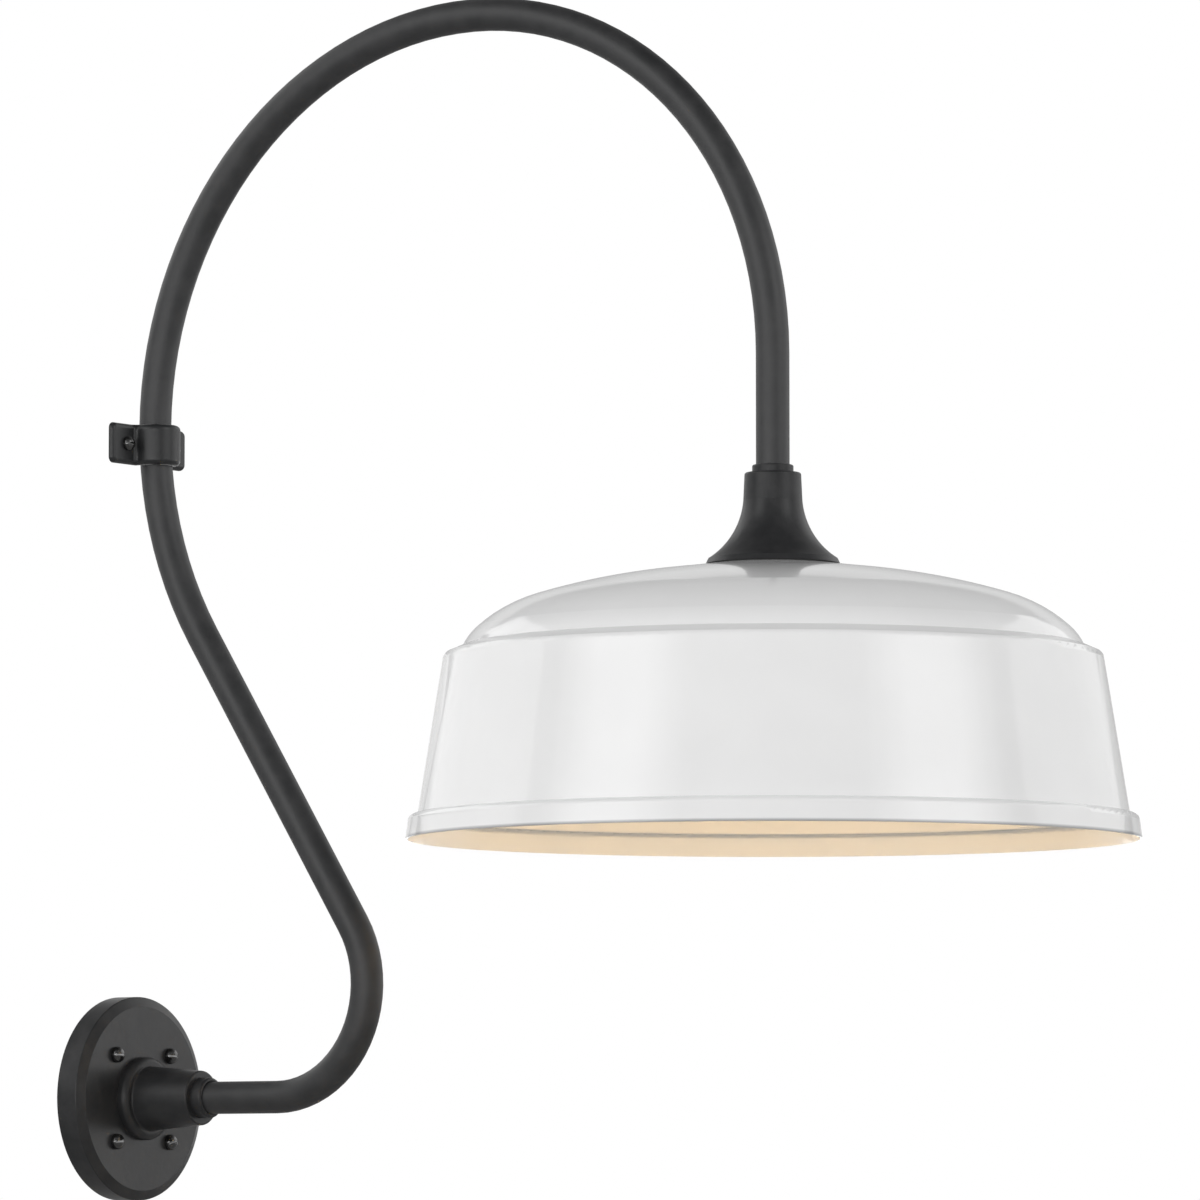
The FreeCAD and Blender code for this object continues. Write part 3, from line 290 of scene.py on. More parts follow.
def raise_surface(finish, *layers):
    """Adds relief. Each layer is a pattern and its height in metres."""
    below = None
    for pattern, depth in layers:
        bump = add_node(finish, "ShaderNodeBump", Strength=1.0, Distance=depth)
        feed(finish, pattern, bump.inputs["Height"])
        if below is not None:
            feed(finish, below.outputs[0], bump.inputs["Normal"])
        below = bump
    feed(finish, below.outputs[0], shader_of(finish).inputs["Normal"])


print("finish tools ready")

# %% [markdown]
# ## Black powder coat
#
# The castings and the tube are sprayed with dry powder that is melted on in an oven. It leaves
# a satin skin with a fine pebble under half a millimetre across. On sand-cast pieces the skin
# also follows the slow waves of the casting, while a drawn tube is smoother. Each piece gets
# its own coat, because a casting and a tube take the powder differently, and the clamp's coat
# is painted a darker black than the rest, as painted shade on the clamp.

# %% Black powder coat
PEBBLE, PEBBLE_HEIGHT = 0.45 * MM, 0.018 * MM
CLOUD, CASTING_WAVE = 14 * MM, 7 * MM
LESS_ROUGH, MORE_ROUGH = 0.03, 0.04
SOOT, COAL, SLATE = (0.0135, 0.014, 0.015), (0.018, 0.0185, 0.0195), (0.027, 0.027, 0.028)


def powder_coat(name, dark, pale, satin, shine, wave):
    """Satin black powder on metal: its roughness, how much it mirrors (0.5 is plain
    lacquer), and the height of the waves in the metal below."""
    finish = new_finish(name)
    pebble = spots(finish, PEBBLE)
    cloud = spots(finish, CLOUD, detail=4.0)
    tint(finish, cloud, dark, pale)
    vary_gloss(finish, cloud, satin - LESS_ROUGH, satin + MORE_ROUGH)
    raise_surface(finish, (pebble, PEBBLE_HEIGHT), (spots(finish, CASTING_WAVE), wave))
    shader_of(finish).inputs["Specular IOR Level"].default_value = shine
    return finish


coat = {
    "canopy": powder_coat("canopy_powder_coat", COAL, SLATE, 0.34, 0.28, 0.10 * MM),
    "hub": powder_coat("hub_powder_coat", COAL, SLATE, 0.38, 0.26, 0.10 * MM),
    "tube": powder_coat("tube_powder_coat", COAL, SLATE, 0.48, 0.48, 0.02 * MM),
    # The clamp's colours are darker than the others' coat: painted shade on the clamp.
    "clamp": powder_coat("clamp_powder_coat", SOOT, COAL, 0.36, 0.36, 0.12 * MM),
    "bell": powder_coat("bell_powder_coat", COAL, SLATE, 0.36, 0.24, 0.06 * MM),
}
print("powder coats:", sorted(coat))

# %% [markdown]
# ## White enamel
#
# The shade is spun steel, covered with glass enamel that is fused on. It is as glossy as a
# glazed cup, with a faint ripple some centimetres long from the spinning and the firing. The
# inside is white enamel painted a warmer white than the outside: the warm tint is painted
# light, standing in for part of the lit lamp's glow on it. Along the rim's edge a fine grey
# line is painted. One material does all three: the side of the sheet comes from the way its
# surface faces, and the rim from its level. Three separate materials would need the sheet cut
# into three pieces.

# %% Where the enamel changes
# Levels of the fine grey line that is painted along the rim's edge.
RIM_CLEAR, RIM_FULL = 2.4 * MM, 0.6 * MM
# The sockets of a colour mix: its share, the colour below, the colour on top, the result.
MIX_SHARE, MIX_BELOW, MIX_OVER, MIX_RESULT = 0, 6, 7, 2


def vector_step(finish, operation, first, second=None):
    """One step of reckoning with vectors. The second value is a socket or plain numbers."""
    step = add_node(finish, "ShaderNodeVectorMath")
    step.operation = operation
    feed(finish, first, step.inputs[0])
    if isinstance(second, bpy.types.NodeSocket):
        feed(finish, second, step.inputs[1])
    elif second is not None:
        step.inputs[1].default_value = second
    return step.outputs["Value" if operation in ("DOT_PRODUCT", "LENGTH") else "Vector"]


def inside_share(finish):
    """1 where the surface faces down or towards the shade's axis, 0 on the outside."""
    where = add_node(finish, "ShaderNodeTexCoord")
    from_axis = vector_step(finish, "SUBTRACT", where.outputs["Object"], SHADE_AXIS)
    level = vector_step(finish, "MULTIPLY", from_axis, (1.0, 1.0, 0.0))
    outward = vector_step(finish, "NORMALIZE", level)
    outward_and_up = vector_step(finish, "ADD", outward, (0.0, 0.0, 1.0))
    faces = vector_step(finish, "DOT_PRODUCT", outward_and_up, where.outputs["Normal"])
    share = add_node(finish, "ShaderNodeMapRange", From_Min=0.1, From_Max=-0.1)
    feed(finish, faces, share.inputs["Value"])
    return share.outputs[0]


def rim_share(finish, rim_level):
    """1 at the rim's edge, 0 from a little above it."""
    where = add_node(finish, "ShaderNodeTexCoord")
    split = add_node(finish, "ShaderNodeSeparateXYZ")
    share = add_node(finish, "ShaderNodeMapRange", From_Min=rim_level + RIM_CLEAR,
                     From_Max=rim_level + RIM_FULL)
    feed(finish, where.outputs["Object"], split.inputs[0])
    feed(finish, split.outputs["Z"], share.inputs["Value"])
    return share.outputs[0]


def paint_over(finish, share, colour):
    """Covers the colour so far with another one, by this share."""
    base = shader_of(finish).inputs["Base Color"]
    mix = add_node(finish, "ShaderNodeMix")
    mix.data_type = "RGBA"
    mix.inputs[MIX_OVER].default_value = (*colour, 1.0)
    feed(finish, base.links[0].from_socket, mix.inputs[MIX_BELOW])
    feed(finish, share, mix.inputs[MIX_SHARE])
    feed(finish, mix.outputs[MIX_RESULT], base)


# %% [markdown]
# The enamel itself has two layers of gloss, as fused glass has: a soft one from the body of the
# enamel and a sharp clear one from its fire-polished skin. The rim's grey goes on before the
# inside colour, so the inner side of the rim takes the inside colour.

# %% White enamel
# The inside colour is white enamel tinted warm, as painted light from the lamp.
INSIDE_WHITE_AND_LAMP_GLOW, RIM_GREY = (0.81, 0.78, 0.72), (0.34, 0.345, 0.35)
FIRING_CLOUD, GLOSS_PATCH = 60 * MM, 9 * MM
PEEL, PEEL_HEIGHT = 2.2 * MM, 0.0012 * MM
RIPPLE, RIPPLE_HEIGHT = 30 * MM, 0.03 * MM


def white_enamel(name):
    finish = new_finish(name)
    tint(finish, spots(finish, FIRING_CLOUD), grey(0.80), grey(0.82))
    inside = inside_share(finish)
    # A fine grey line is painted along the lowest millimetres of the rim.
    paint_over(finish, rim_share(finish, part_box("shade")[0].z), RIM_GREY)
    # The inside is painted warm: painted lamp light on the white enamel.
    paint_over(finish, inside, INSIDE_WHITE_AND_LAMP_GLOW)
    vary_gloss(finish, spots(finish, GLOSS_PATCH, detail=3.0), 0.13, 0.17)
    raise_surface(finish, (spots(finish, PEEL), PEEL_HEIGHT),
                  (spots(finish, RIPPLE, detail=1.0), RIPPLE_HEIGHT))
    shader_of(finish).inputs["Specular IOR Level"].default_value = 0.25
    shader_of(finish).inputs["Coat Weight"].default_value = 0.5
    shader_of(finish).inputs["Coat Roughness"].default_value = 0.04
    return finish


enamel = white_enamel("white_enamel")
print("enamel with", len(enamel.node_tree.nodes), "nodes")

# %% [markdown]
# ## Small metals, rubber, porcelain and plastic
#
# The hidden pieces get their real finishes too, because they show from behind and below.
# Each is one stuff with one grain, so one tool makes them all: the same pattern tints them,
# varies their gloss and gives them relief.

# %% Small finishes
def plain_finish(name, low, high, gloss, grain, relief, metal=0.0):
    """A finish of one stuff, with its grain size and the height of its relief."""
    finish = new_finish(name)
    pattern = spots(finish, grain, detail=3.0)
    tint(finish, pattern, low, high)
    vary_gloss(finish, pattern, *gloss)
    raise_surface(finish, (pattern, relief))
    shader_of(finish).inputs["Metallic"].default_value = metal
    return finish


lacquer = plain_finish("screw_lacquer", grey(0.007), grey(0.011), (0.09, 0.15),
                       1.2 * MM, 0.01 * MM)
shader_of(lacquer).inputs["Specular IOR Level"].default_value = 1.0
rubber = plain_finish("gasket_rubber", grey(0.028), grey(0.040), (0.72, 0.85),
                      0.5 * MM, 0.03 * MM)
zinc = plain_finish("bright_zinc", (0.55, 0.56, 0.57), (0.66, 0.67, 0.69), (0.24, 0.38),
                    1.5 * MM, 0.006 * MM, metal=1.0)
green_zinc = plain_finish("green_screw", (0.05, 0.26, 0.09), (0.08, 0.34, 0.13),
                          (0.25, 0.38), 1.5 * MM, 0.006 * MM, metal=0.7)
brass = plain_finish("spun_brass", (0.70, 0.50, 0.20), (0.80, 0.60, 0.28), (0.20, 0.32),
                     2.0 * MM, 0.005 * MM, metal=1.0)
cap_metal = plain_finish("lamp_cap_metal", (0.66, 0.66, 0.65), (0.78, 0.78, 0.77),
                         (0.20, 0.32), 1.0 * MM, 0.006 * MM, metal=1.0)
porcelain = plain_finish("glazed_porcelain", (0.82, 0.81, 0.76), (0.87, 0.86, 0.82),
                         (0.10, 0.16), 6.0 * MM, 0.02 * MM)
black_glass = plain_finish("black_glass", grey(0.012), grey(0.020), (0.08, 0.14),
                           3.0 * MM, 0.01 * MM)
nylon = plain_finish("natural_nylon", (0.74, 0.72, 0.66), (0.80, 0.78, 0.72), (0.38, 0.48),
                     1.2 * MM, 0.01 * MM)
sheaths = {
    colour: plain_finish(f"wire_{colour}", low, high, (0.40, 0.52), 0.8 * MM, 0.008 * MM)
    for colour, low, high in (("black", grey(0.022), grey(0.030)),
                              ("white", grey(0.72), grey(0.78)),
                              ("green", (0.03, 0.22, 0.07), (0.05, 0.28, 0.10)))
}
print("small finishes ready")

# %% [markdown]
# ## Lit lamp glass
#
# The lamp is on: its warm light is what shows on the inside of the shade. The glass is
# frosted, so the whole bulb glows evenly and the surface itself can be the light. A lamp
# object inside clear glass would need many more samples for the same glow.

# %% Lit lamp glass
LAMP_GLOW, LAMP_COLOUR = 23.5, (1.0, 0.735, 0.446, 1.0)
frosted = plain_finish("frosted_lamp_glass", (0.90, 0.88, 0.84), (0.94, 0.92, 0.88),
                       (0.42, 0.55), 0.8 * MM, 0.01 * MM)
shader_of(frosted).inputs["Emission Color"].default_value = LAMP_COLOUR
shader_of(frosted).inputs["Emission Strength"].default_value = LAMP_GLOW
print("lamp glass glows at", LAMP_GLOW)

# %% [markdown]
# ## Skins over rings
#
# Screws, thread and wire are all round along one line, so one tool makes them: it joins ring
# after ring of points into a skin. A primitive cylinder would have no rounding and no
# thread. With rings, every level can have its own radius, and so can every angle.

# %% Skin over rings
def ring(radius, level, sides=48):
    """Points round the Z axis. The radius is one number, or a function of the turn, 0 to 1."""
    points = []
    for side in range(sides):
        turn = side / sides
        away = radius(turn) if callable(radius) else radius
        angle = turn * math.tau
        points.append((away * math.cos(angle), away * math.sin(angle), level))
    return points


def ring_skin(name, rings, closed=False):
    """A mesh over these rings. A ring of one point is a tip, and a closed skin also joins
    its last ring to its first."""
    corners, firsts, faces = [], [], []
    for points in rings:
        firsts.append(len(corners))
        corners.extend(points)
    follows = list(range(1, len(rings))) + ([0] if closed else [])
    for low, high in enumerate(follows):
        for side in range(max(len(rings[low]), len(rings[high]))):
            quad = [firsts[which] + (side + step) % len(rings[which])
                    for which, step in ((low, 0), (low, 1), (high, 1), (high, 0))]
            faces.append(list(dict.fromkeys(quad)))
    mesh = bpy.data.meshes.new(name)
    mesh.from_pydata(corners, [], faces)
    return mesh


def smooth(mesh, crease):
    """Shades a mesh smoothly, but keeps edges sharper than this many degrees."""
    mesh.shade_smooth()
    mesh.set_sharp_from_angle(angle=math.radians(crease))
    return mesh


print("skins over rings ready")

# %% [markdown]
# ## Thread
#
# A thread is a ridge that climbs by one pitch in each turn. On the rings it is a wave that
# moves round as the level rises, so the ridge really is a helix. It fades out at both ends,
# where a real thread runs out into the plain metal.

# %% Thread
def thread_rings(crest, root, pitch, low, high, sides=48, steps=8):
    """Rings of a thread between two levels, from its root radius to its crest radius."""
    count = round((high - low) / pitch * steps)
    rings = []
    for row in range(count + 1):
        level = low + (high - low) * row / count
        fade = min(1.0, (level - low) / pitch, (high - level) / pitch)

        def radius(turn):
            wave = 0.5 + 0.5 * math.cos(math.tau * (level / pitch - turn))
            return root + (crest - root) * wave * fade
        rings.append(ring(radius, level, sides))
    return rings


print("thread ready")

# %% [markdown]
# ## Cutting and rounding
#
# A screw's slot is cut with a Boolean, as a saw cuts it into a turned blank. The cut leaves
# edges that are sharper than any real ones, so they are rounded by a tenth of a millimetre,
# and then they catch the light. Modelling the slot by hand would take a face layout of its
# own for every head.

# %% Cutting and rounding
SHARP_ANGLE = math.radians(50)


def settle(thing):
    """Works the modifiers of an object into its mesh."""
    seen = thing.evaluated_get(bpy.context.evaluated_depsgraph_get())
    finished = bpy.data.meshes.new_from_object(seen)
    thing.modifiers.clear()
    thing.data = finished


def wedge(name, width, top_length, low_length, top, low):
    """A cutter as wide as a screwdriver's blade, shorter at its low end."""
    corners = [(x * length / 2, y * width / 2, level)
               for length, level in ((low_length, low), (top_length, top))
               for x, y in ((-1, -1), (1, -1), (1, 1), (-1, 1))]
    mesh = bpy.data.meshes.new(name)
    mesh.from_pydata(corners, [], [(3, 2, 1, 0), (4, 5, 6, 7), (0, 1, 5, 4), (1, 2, 6, 5),
                                   (2, 3, 7, 6), (3, 0, 4, 7)])
    return link_object(name, mesh)


def cut_away(thing, cutters):
    """Cuts the cutters out of an object, then throws them away."""
    for cutter in cutters:
        boolean = thing.modifiers.new("cut", "BOOLEAN")
        boolean.object = cutter
        boolean.solver = "EXACT"
        settle(thing)
        bpy.data.objects.remove(cutter)


def round_cut_edges(mesh, above, amount):
    """Rounds the sharp edges that lie above a level."""
    work = bmesh.new()
    work.from_mesh(mesh)
    sharp = [edge for edge in work.edges
             if len(edge.link_faces) == 2 and edge.calc_face_angle() > SHARP_ANGLE
             and min(corner.co.z for corner in edge.verts) > above]
    bmesh.ops.bevel(work, geom=sharp, offset=amount, segments=2, profile=0.6,
                    affect="EDGES", clamp_overlap=True)
    work.to_mesh(mesh)
    work.free()


print("cutting and rounding ready")

# %% [markdown]
# ## Screws
#
# Canopy and clamp are held by slotted screws with tall round heads, like little black balls.
# Inside the shade and on the socket sit pan-head screws with a cross recess. Each screw is
# one skin from its tip through thread and neck to the crown of its head, and the recess is
# cut last. One tool makes all five kinds from their measures.

# %% Screw tool
TINY = 1e-7
HEAD_EASE = 0.25 * MM
THREAD_DEPTH = 0.45
TIP_HEIGHT, TIP_SHARE = 0.3 * MM, 0.8
SLOT_WIDTH, SLOT_FLOOR = 1.25 * MM, 0.62
CROSS_WIDTH, CROSS_TIP, CROSS_REACH, CROSS_FLOOR = 0.9 * MM, 0.5 * MM, 1.15, 0.35
CUT_ROUNDING, ROUNDED_FROM = 0.1 * MM, 0.3
SCREW_CREASE = 40
Head = namedtuple("Head", "radius height corner_across corner_up")


def crown(head, steps=9):
    """Rings of a head from its underside to its top, rounded at the corner."""
    rings = [ring(head.radius - HEAD_EASE, 0.0), ring(head.radius, HEAD_EASE)]
    for step in range(steps):
        angle = math.pi / 2 * step / (steps - 1)
        away = head.radius - head.corner_across * (1 - math.cos(angle))
        level = head.height - head.corner_up * (1 - math.sin(angle))
        rings.append(ring(away, level) if away > TINY else [(0.0, 0.0, level)])
    if head.corner_across < head.radius - TINY:
        rings.append([(0.0, 0.0, head.height)])
    return rings


def recess_cutters(head, cross):
    """Two crossed blades for a cross recess, or one long blade for a slot."""
    top = head.height + MM
    if not cross:
        across = 3 * head.radius
        return [wedge("blade", SLOT_WIDTH, across, across, top, head.height * SLOT_FLOOR)]
    blades = [wedge("blade", CROSS_WIDTH, CROSS_REACH * head.radius, CROSS_TIP, top,
                    head.height * CROSS_FLOOR) for _ in range(2)]
    blades[1].rotation_euler.z = math.pi / 2
    return blades


def screw_mesh(name, head, shank_radius, neck, length, pitch, cross=False):
    """A screw with its head up: a plain neck under the head, then the thread."""
    root = shank_radius - THREAD_DEPTH * pitch
    rings = [[(0.0, 0.0, -length)], ring(root * TIP_SHARE, -length),
             ring(root, -length + TIP_HEIGHT)]
    rings += thread_rings(shank_radius, root, pitch, -length + TIP_HEIGHT, -neck)
    rings += [ring(shank_radius, -neck), ring(shank_radius, 0.0)]
    blank = link_object(name, ring_skin(name, rings + crown(head)))
    cut_away(blank, recess_cutters(head, cross))
    mesh = blank.data
    bpy.data.objects.remove(blank)
    round_cut_edges(mesh, ROUNDED_FROM * head.height, CUT_ROUNDING)
    return smooth(mesh, SCREW_CREASE)


print("screw tool ready")

# %% [markdown]
# The measures of the five kinds are those of the measured pieces, so that each screw fills
# the place of its own CAD solid. A head whose rounded corner is as wide as the head itself
# is a dome, and a pan head keeps a flat top.

# %% The five kinds of screw
BOX_HEAD = Head(5.75 * MM, 6.2 * MM, 5.75 * MM, 4.65 * MM)
CLAMP_HEAD = Head(5.25 * MM, 5.8 * MM, 5.25 * MM, 4.35 * MM)
GROUND_HEAD = Head(4.6 * MM, 2.8 * MM, 1.2 * MM, 1.2 * MM)
FITTER_HEAD = Head(3.6 * MM, 2.6 * MM, 1.3 * MM, 1.3 * MM)
SOCKET_HEAD = Head(3.2 * MM, 2.4 * MM, 1.2 * MM, 1.2 * MM)
screws = {
    "box_screw": screw_mesh("box_screw", BOX_HEAD, shank_radius=2.4 * MM, neck=3.9 * MM,
                            length=30.5 * MM, pitch=1.0 * MM),
    "clamp_screw": screw_mesh("clamp_screw", CLAMP_HEAD, shank_radius=2.4 * MM,
                              neck=4.6 * MM, length=14.2 * MM, pitch=1.0 * MM),
    "ground_screw": screw_mesh("ground_screw", GROUND_HEAD, shank_radius=2.0 * MM,
                               neck=0.9 * MM, length=6.4 * MM, pitch=0.8 * MM),
    "fitter_screw": screw_mesh("fitter_screw", FITTER_HEAD, shank_radius=1.9 * MM,
                               neck=3.0 * MM, length=10.1 * MM, pitch=0.8 * MM,
                               cross=True),
    "socket_screw": screw_mesh("socket_screw", SOCKET_HEAD, shank_radius=1.75 * MM,
                               neck=5.6 * MM, length=9.5 * MM, pitch=0.8 * MM,
                               cross=True),
}
print("screws:", {name: len(mesh.polygons) for name, mesh in screws.items()})

# %% [markdown]
# ## Screws in their places
#
# The places come from the measured pieces: a screw's line is the middle of its own CAD
# screw, and its head bears where the piece under it ends. The slots lie nearly level, and
# the lower two on the canopy stopped a few degrees further round, as a fitter leaves them.

# %% Place the screws
OUT_FROM_WALL = Matrix.Rotation(math.pi / 2, 4, "X")
HEAD_DOWN = Matrix.Rotation(math.pi, 4, "X")


def add_piece(name, mesh, finish, stands_for, body="fixture", place=None, turn=0.0):
    """Adds a finished piece, standing for its measured node, on the body it moves with."""
    piece = link_object(name, mesh)
    piece.matrix_world = place @ Matrix.Rotation(math.radians(turn), 4, "Z")
    mesh.materials.clear()
    mesh.materials.append(finish)
    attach(piece, body)
    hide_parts(*stands_for)


canopy_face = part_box("canopy")[0].y
ear_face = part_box("clamp_screws")[0].y + CLAMP_HEAD.height
clamp_level = sum(corner.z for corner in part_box("clamp_screws")) / 2
box_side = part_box("canopy_screws")[1].x - BOX_HEAD.radius
clamp_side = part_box("clamp_screws")[1].x - CLAMP_HEAD.radius
for name, x, z, turn in (("upper_left", -1, 1, 0.0), ("upper_right", 1, 1, -1.5),
                         ("lower_left", -1, -1, 4.5), ("lower_right", 1, -1, 13.0)):
    place = Matrix.Translation((x * box_side, canopy_face, z * box_side)) @ OUT_FROM_WALL
    add_piece(f"box_screw_{name}", screws["box_screw"], lacquer,
              ["canopy_screws"], place=place, turn=turn)
for name, x, turn in (("left", -1, -3.0), ("right", 1, 4.0)):
    place = Matrix.Translation((x * clamp_side, ear_face, clamp_level)) @ OUT_FROM_WALL
    add_piece(f"clamp_screw_{name}", screws["clamp_screw"], lacquer,
              ["clamp_screws"], place=place, turn=turn)
print("canopy face", round(canopy_face / MM, 2), "ear face", round(ear_face / MM, 2),
      "clamp level", round(clamp_level / MM, 2))

# %% [markdown]
# Six more screws are out of sight from the front. The green one holds the ground lead inside
# the canopy. Three hold the plate and the shade up against the bell, and two hold the socket
# to the plate. They hang head down on circles round the lamp's axis, so their places are
# turned from one direction instead of being typed in one by one.

# %% Place the inside screws
FITTER_CIRCLE, SOCKET_CIRCLE = 31 * MM, 21.3 * MM
ground_low, ground_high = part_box("ground_screw")
place = Matrix.Translation((0.0, ground_high.y - GROUND_HEAD.height,
                            (ground_low.z + ground_high.z) / 2))
add_piece("ground_screw_head", screws["ground_screw"], green_zinc,
          ["ground_screw"], place=place @ OUT_FROM_WALL @ HEAD_DOWN, turn=35.0)
plate_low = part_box("socket_plate")[0].z
cap_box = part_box("lamp_base")
lamp_axis = Vector((0.0, (cap_box[0].y + cap_box[1].y) / 2, 0.0))
for number in range(3):
    outward = Matrix.Rotation(math.tau * number / 3, 4, "Z") @ Vector((0.0, FITTER_CIRCLE, 0.0))
    place = Matrix.Translation(lamp_axis + outward + Vector((0.0, 0.0, plate_low)))
    add_piece(f"fitter_screw_{number + 1}", screws["fitter_screw"], zinc,
              ["fitter_screws"], place=place @ HEAD_DOWN, turn=25.0 * number)
flange_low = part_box("socket_screws")[0].z + SOCKET_HEAD.height
for name, x in (("left", -1), ("right", 1)):
    place = Matrix.Translation(lamp_axis + Vector((x * SOCKET_CIRCLE, 0.0, flange_low)))
    add_piece(f"socket_screw_{name}", screws["socket_screw"], zinc,
              ["socket_screws"], place=place @ HEAD_DOWN, turn=20.0 * x)
print("plate at", round(plate_low / MM, 2), "socket flange at", round(flange_low / MM, 2))

# %% [markdown]
# ## Screw shell of the socket and cap of the lamp
#
# Both are thin sheet with a coarse round thread rolled into it, 3.63 mm for each turn. The
# lamp's cap is the inner one, and it turns with the lamp. Each is one closed skin: up the
# outside, over the edge and back down the inside.

# %% Rolled threads
ROLLED_PITCH = 3.63 * MM
CUP_SIDES, CUP_STEPS, CUP_CREASE = 96, 12, 45


def rolled_cup(name, crest, root, wall, low, high, rim, neck):
    """A threaded cup of sheet: its thread runs between two levels, with a plain rim below
    and a neck above that ends in (radius, level) points."""
    def side(inward):
        rings = [ring(root - inward, low - rim, CUP_SIDES), ring(root - inward, low, CUP_SIDES)]
        rings += thread_rings(crest - inward, root - inward, ROLLED_PITCH, low, high,
                              CUP_SIDES, CUP_STEPS)
        return rings + [ring(radius - inward, level, CUP_SIDES) for radius, level in neck]
    outside, inside = side(0.0), side(wall)
    inside = [[(x, y, z - wall) if index >= len(inside) - len(neck) else (x, y, z)
               for x, y, z in points] for index, points in enumerate(inside)]
    return smooth(ring_skin(name, outside + inside[::-1], closed=True), CUP_CREASE)


cap_low, cap_high = (corner.z for corner in cap_box)
cap = rolled_cup("lamp_cap", crest=13.1 * MM, root=12.4 * MM, wall=0.3 * MM,
                 low=cap_low + 1.6 * MM, high=cap_high - 3.2 * MM, rim=1.6 * MM,
                 neck=[(12.4 * MM, cap_high - 2.4 * MM), (10.15 * MM, cap_high),
                       (8.8 * MM, cap_high)])
add_piece("lamp_cap", cap, cap_metal, ["lamp_base"], body="lamp",
          place=Matrix.Translation(lamp_axis))
shell_low, shell_high = (corner.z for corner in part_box("socket_shell"))
shell = rolled_cup("screw_shell", crest=13.9 * MM, root=13.6 * MM, wall=0.2 * MM,
                   low=shell_low + 1.5 * MM, high=shell_high - 2.0 * MM, rim=1.5 * MM,
                   neck=[(13.6 * MM, shell_high - 0.6 * MM), (13.0 * MM, shell_high),
                         (9.2 * MM, shell_high)])
add_piece("screw_shell", shell, brass, ["socket_shell"],
          place=Matrix.Translation(lamp_axis))
print("cap faces:", len(cap.polygons), "shell faces:", len(shell.polygons))

# %% [markdown]
# ## Bare ends of the leads
#
# Behind the canopy the lamp's two wires and the ground lead wait for the house wires. Each
# is stripped, and its seven copper strands show, six twisted round one. A single rod would
# look solid, so every strand is its own little skin that follows the twist.

# %% Copper strands
copper = plain_finish("bare_copper", (0.80, 0.42, 0.26), (0.88, 0.52, 0.34), (0.22, 0.34),
                      0.6 * MM, 0.004 * MM, metal=1.0)
STRAND, LAY = 0.30 * MM, 12.0 * MM
STRAND_SIDES, STRAND_STEPS, STRAND_CREASE = 10, 12, 50
OUTER_STRANDS, FROM_MIDDLE = 6, 2.04 * STRAND
BARE_LENGTH, INSIDE_SHEATH = 9.5 * MM, 1.0 * MM
WIRE_BESIDE, GROUND_RISE = 2.2 * MM, 26.5 * MM


def strand_mesh(name, away, start, length):
    """One strand along Z at this distance from the middle, twisted one turn in the lay."""
    rings = []
    for step in range(STRAND_STEPS + 1):
        level = length * step / STRAND_STEPS
        angle = start + math.tau * level / LAY
        middle = (away * math.cos(angle), away * math.sin(angle))
        rings.append([(middle[0] + x, middle[1] + y, z)
                      for x, y, z in ring(STRAND, level, STRAND_SIDES)])
    tips = [[(sum(point[0] for point in rings[end]) / STRAND_SIDES,
              sum(point[1] for point in rings[end]) / STRAND_SIDES, rings[end][0][2])]
            for end in (0, -1)]
    return smooth(ring_skin(name, [tips[0]] + rings + [tips[1]]), STRAND_CREASE)


def bare_end(name, x, z, start):
    """The stripped end of a lead, from inside its sheath back towards the wall."""
    place = Matrix.Translation((x, start, z)) @ Matrix.Rotation(-math.pi / 2, 4, "X")
    for number in range(OUTER_STRANDS + 1):
        mesh = strand_mesh(f"{name}_strand_{number}",
                           0.0 if number == OUTER_STRANDS else FROM_MIDDLE,
                           math.tau * number / OUTER_STRANDS, BARE_LENGTH)
        mesh.materials.append(copper)
        strand = link_object(f"{name}_strand_{number + 1}", mesh)
        strand.matrix_world = place
        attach(strand, "fixture")


for name in ("hot_wire", "neutral_wire", "ground_lead"):
    low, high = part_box(name)
    across = 0.0 if name == "ground_lead" else math.copysign(WIRE_BESIDE, low.x + high.x)
    rise = GROUND_RISE if name == "ground_lead" else 0.0
    bare_end(name, across, rise, high.y - INSIDE_SHEATH)
print("bare ends on three leads")

# %% [markdown]
# ## Dress the measured pieces
#
# All other pieces keep their measured shape and only get a finish. The lamp's glass and the
# tube are also kept out of mirror images. The glass is far brighter than white, so its image
# would smear orange over the black pieces, and the tube's would draw a dark line along the
# edge of the shade. A studio hides such images with black and white cards round the lens.

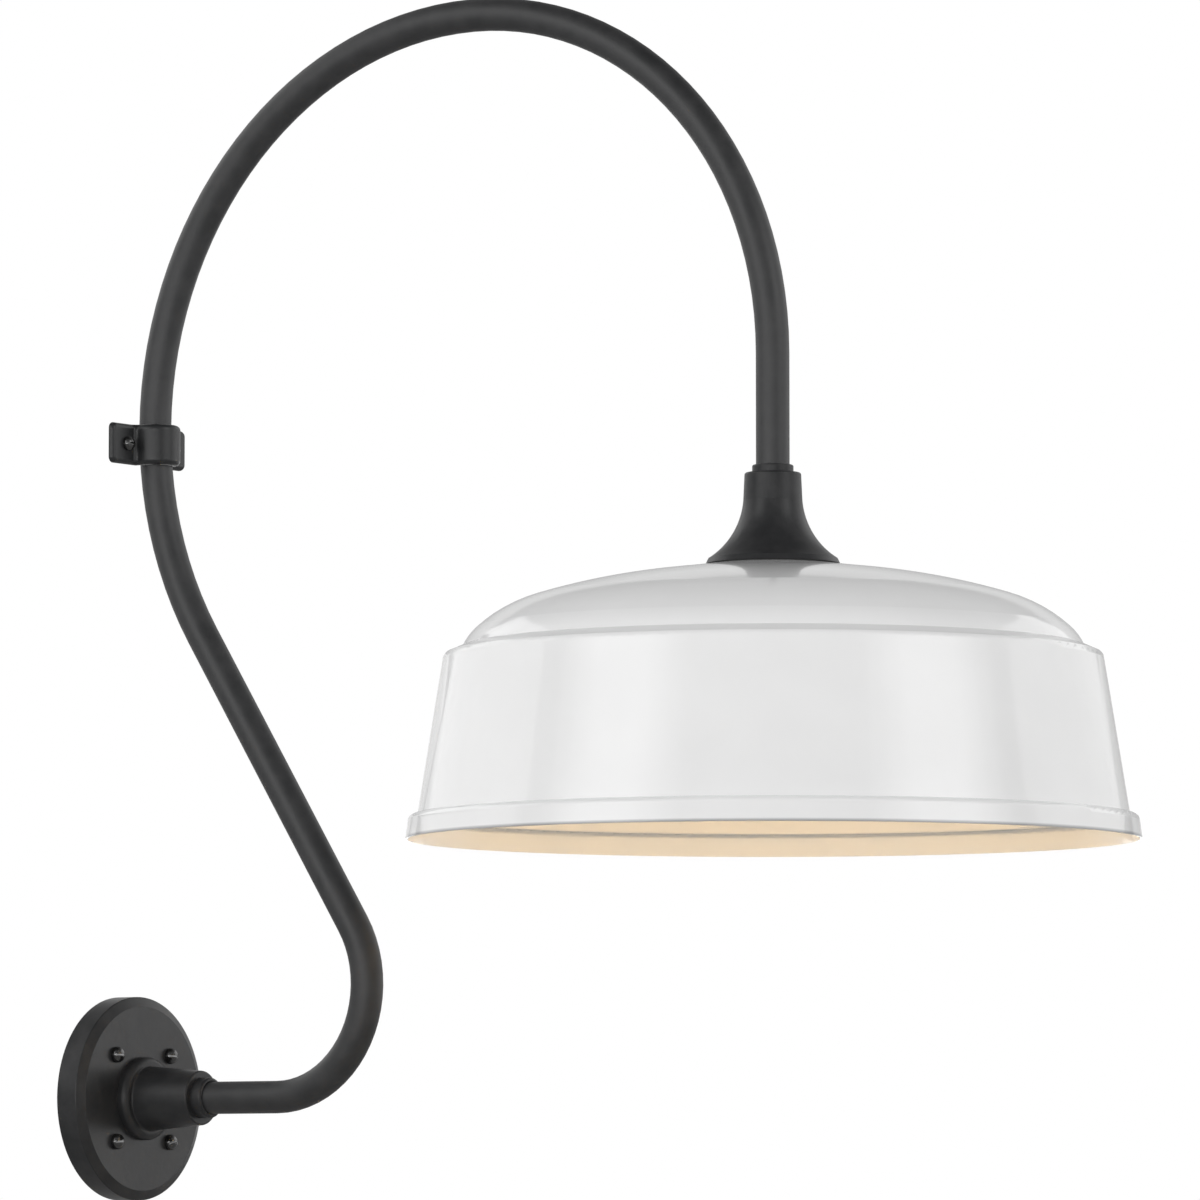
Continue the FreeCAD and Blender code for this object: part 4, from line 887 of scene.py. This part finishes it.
# %% Dress the measured pieces
FINISH_OF = {
    "canopy": coat["canopy"], "wall_gasket": rubber, "canopy_screws": lacquer,
    "hub": coat["hub"], "hub_washer": zinc, "hub_locknut": zinc, "wire_bushing": nylon,
    "hub_ring": coat["hub"], "ground_screw": green_zinc, "ground_lead": sheaths["green"],
    "arm": coat["tube"], "hot_wire": sheaths["black"], "neutral_wire": sheaths["white"],
    "clamp_strap": coat["clamp"], "clamp_screws": lacquer, "neck_ring": coat["bell"],
    "bell_fitter": coat["bell"], "fitter_gasket": rubber, "shade": enamel,
    "socket_plate": zinc, "fitter_screws": zinc, "socket_body": porcelain,
    "socket_shell": brass, "centre_contact": brass, "socket_screws": zinc,
    "lamp_base": cap_metal, "lamp_insulator": black_glass, "lamp_tip": cap_metal,
    "lamp_glass": frosted,
}
for name, finish in FINISH_OF.items():
    node = nodes[name]
    node.data.materials.clear()
    node.data.materials.append(finish)
for name in ("lamp_glass", "arm"):
    nodes[name].visible_glossy = False
print(f"{len(FINISH_OF)} pieces have their finish")

# %% [markdown]
# ## Floor paint
#
# The floor's paint thins out towards the edge, so that it passes into the backdrop without a
# horizon, as a studio sweep does. It covers only the upper side, so the light can also be
# looked at from below. To the camera it is paler than to the lamps: that keeps the floor
# pale in the picture without throwing too much light up at the castings.

# %% Floor paint
FLOOR_FADE = 3.4
floor_paint = plain_finish("floor_paint", grey(0.50), grey(0.53), (0.6, 0.7),
                           300 * MM, 0.05 * MM)
centre = add_node(floor_paint, "ShaderNodeTexCoord")
away = vector_step(floor_paint, "LENGTH", centre.outputs["Object"])
cover = add_node(floor_paint, "ShaderNodeMapRange", From_Min=FLOOR_FADE,
                 From_Max=FLOOR_REACH, To_Min=1.0, To_Max=0.0)
cover.interpolation_type = "SMOOTHSTEP"
seen_side = add_node(floor_paint, "ShaderNodeNewGeometry")
from_above = add_node(floor_paint, "ShaderNodeMath")
from_above.operation = "SUBTRACT"
from_above.use_clamp = True
rays = add_node(floor_paint, "ShaderNodeLightPath")
feed(floor_paint, away, cover.inputs["Value"])
feed(floor_paint, cover.outputs[0], from_above.inputs[0])
feed(floor_paint, seen_side.outputs["Backfacing"], from_above.inputs[1])
feed(floor_paint, from_above.outputs[0], shader_of(floor_paint).inputs["Alpha"])
paint_over(floor_paint, rays.outputs["Is Camera Ray"], grey(0.85))
floor.data.materials.append(floor_paint)
print("floor paint fades from", FLOOR_FADE, "to", FLOOR_REACH, "m")
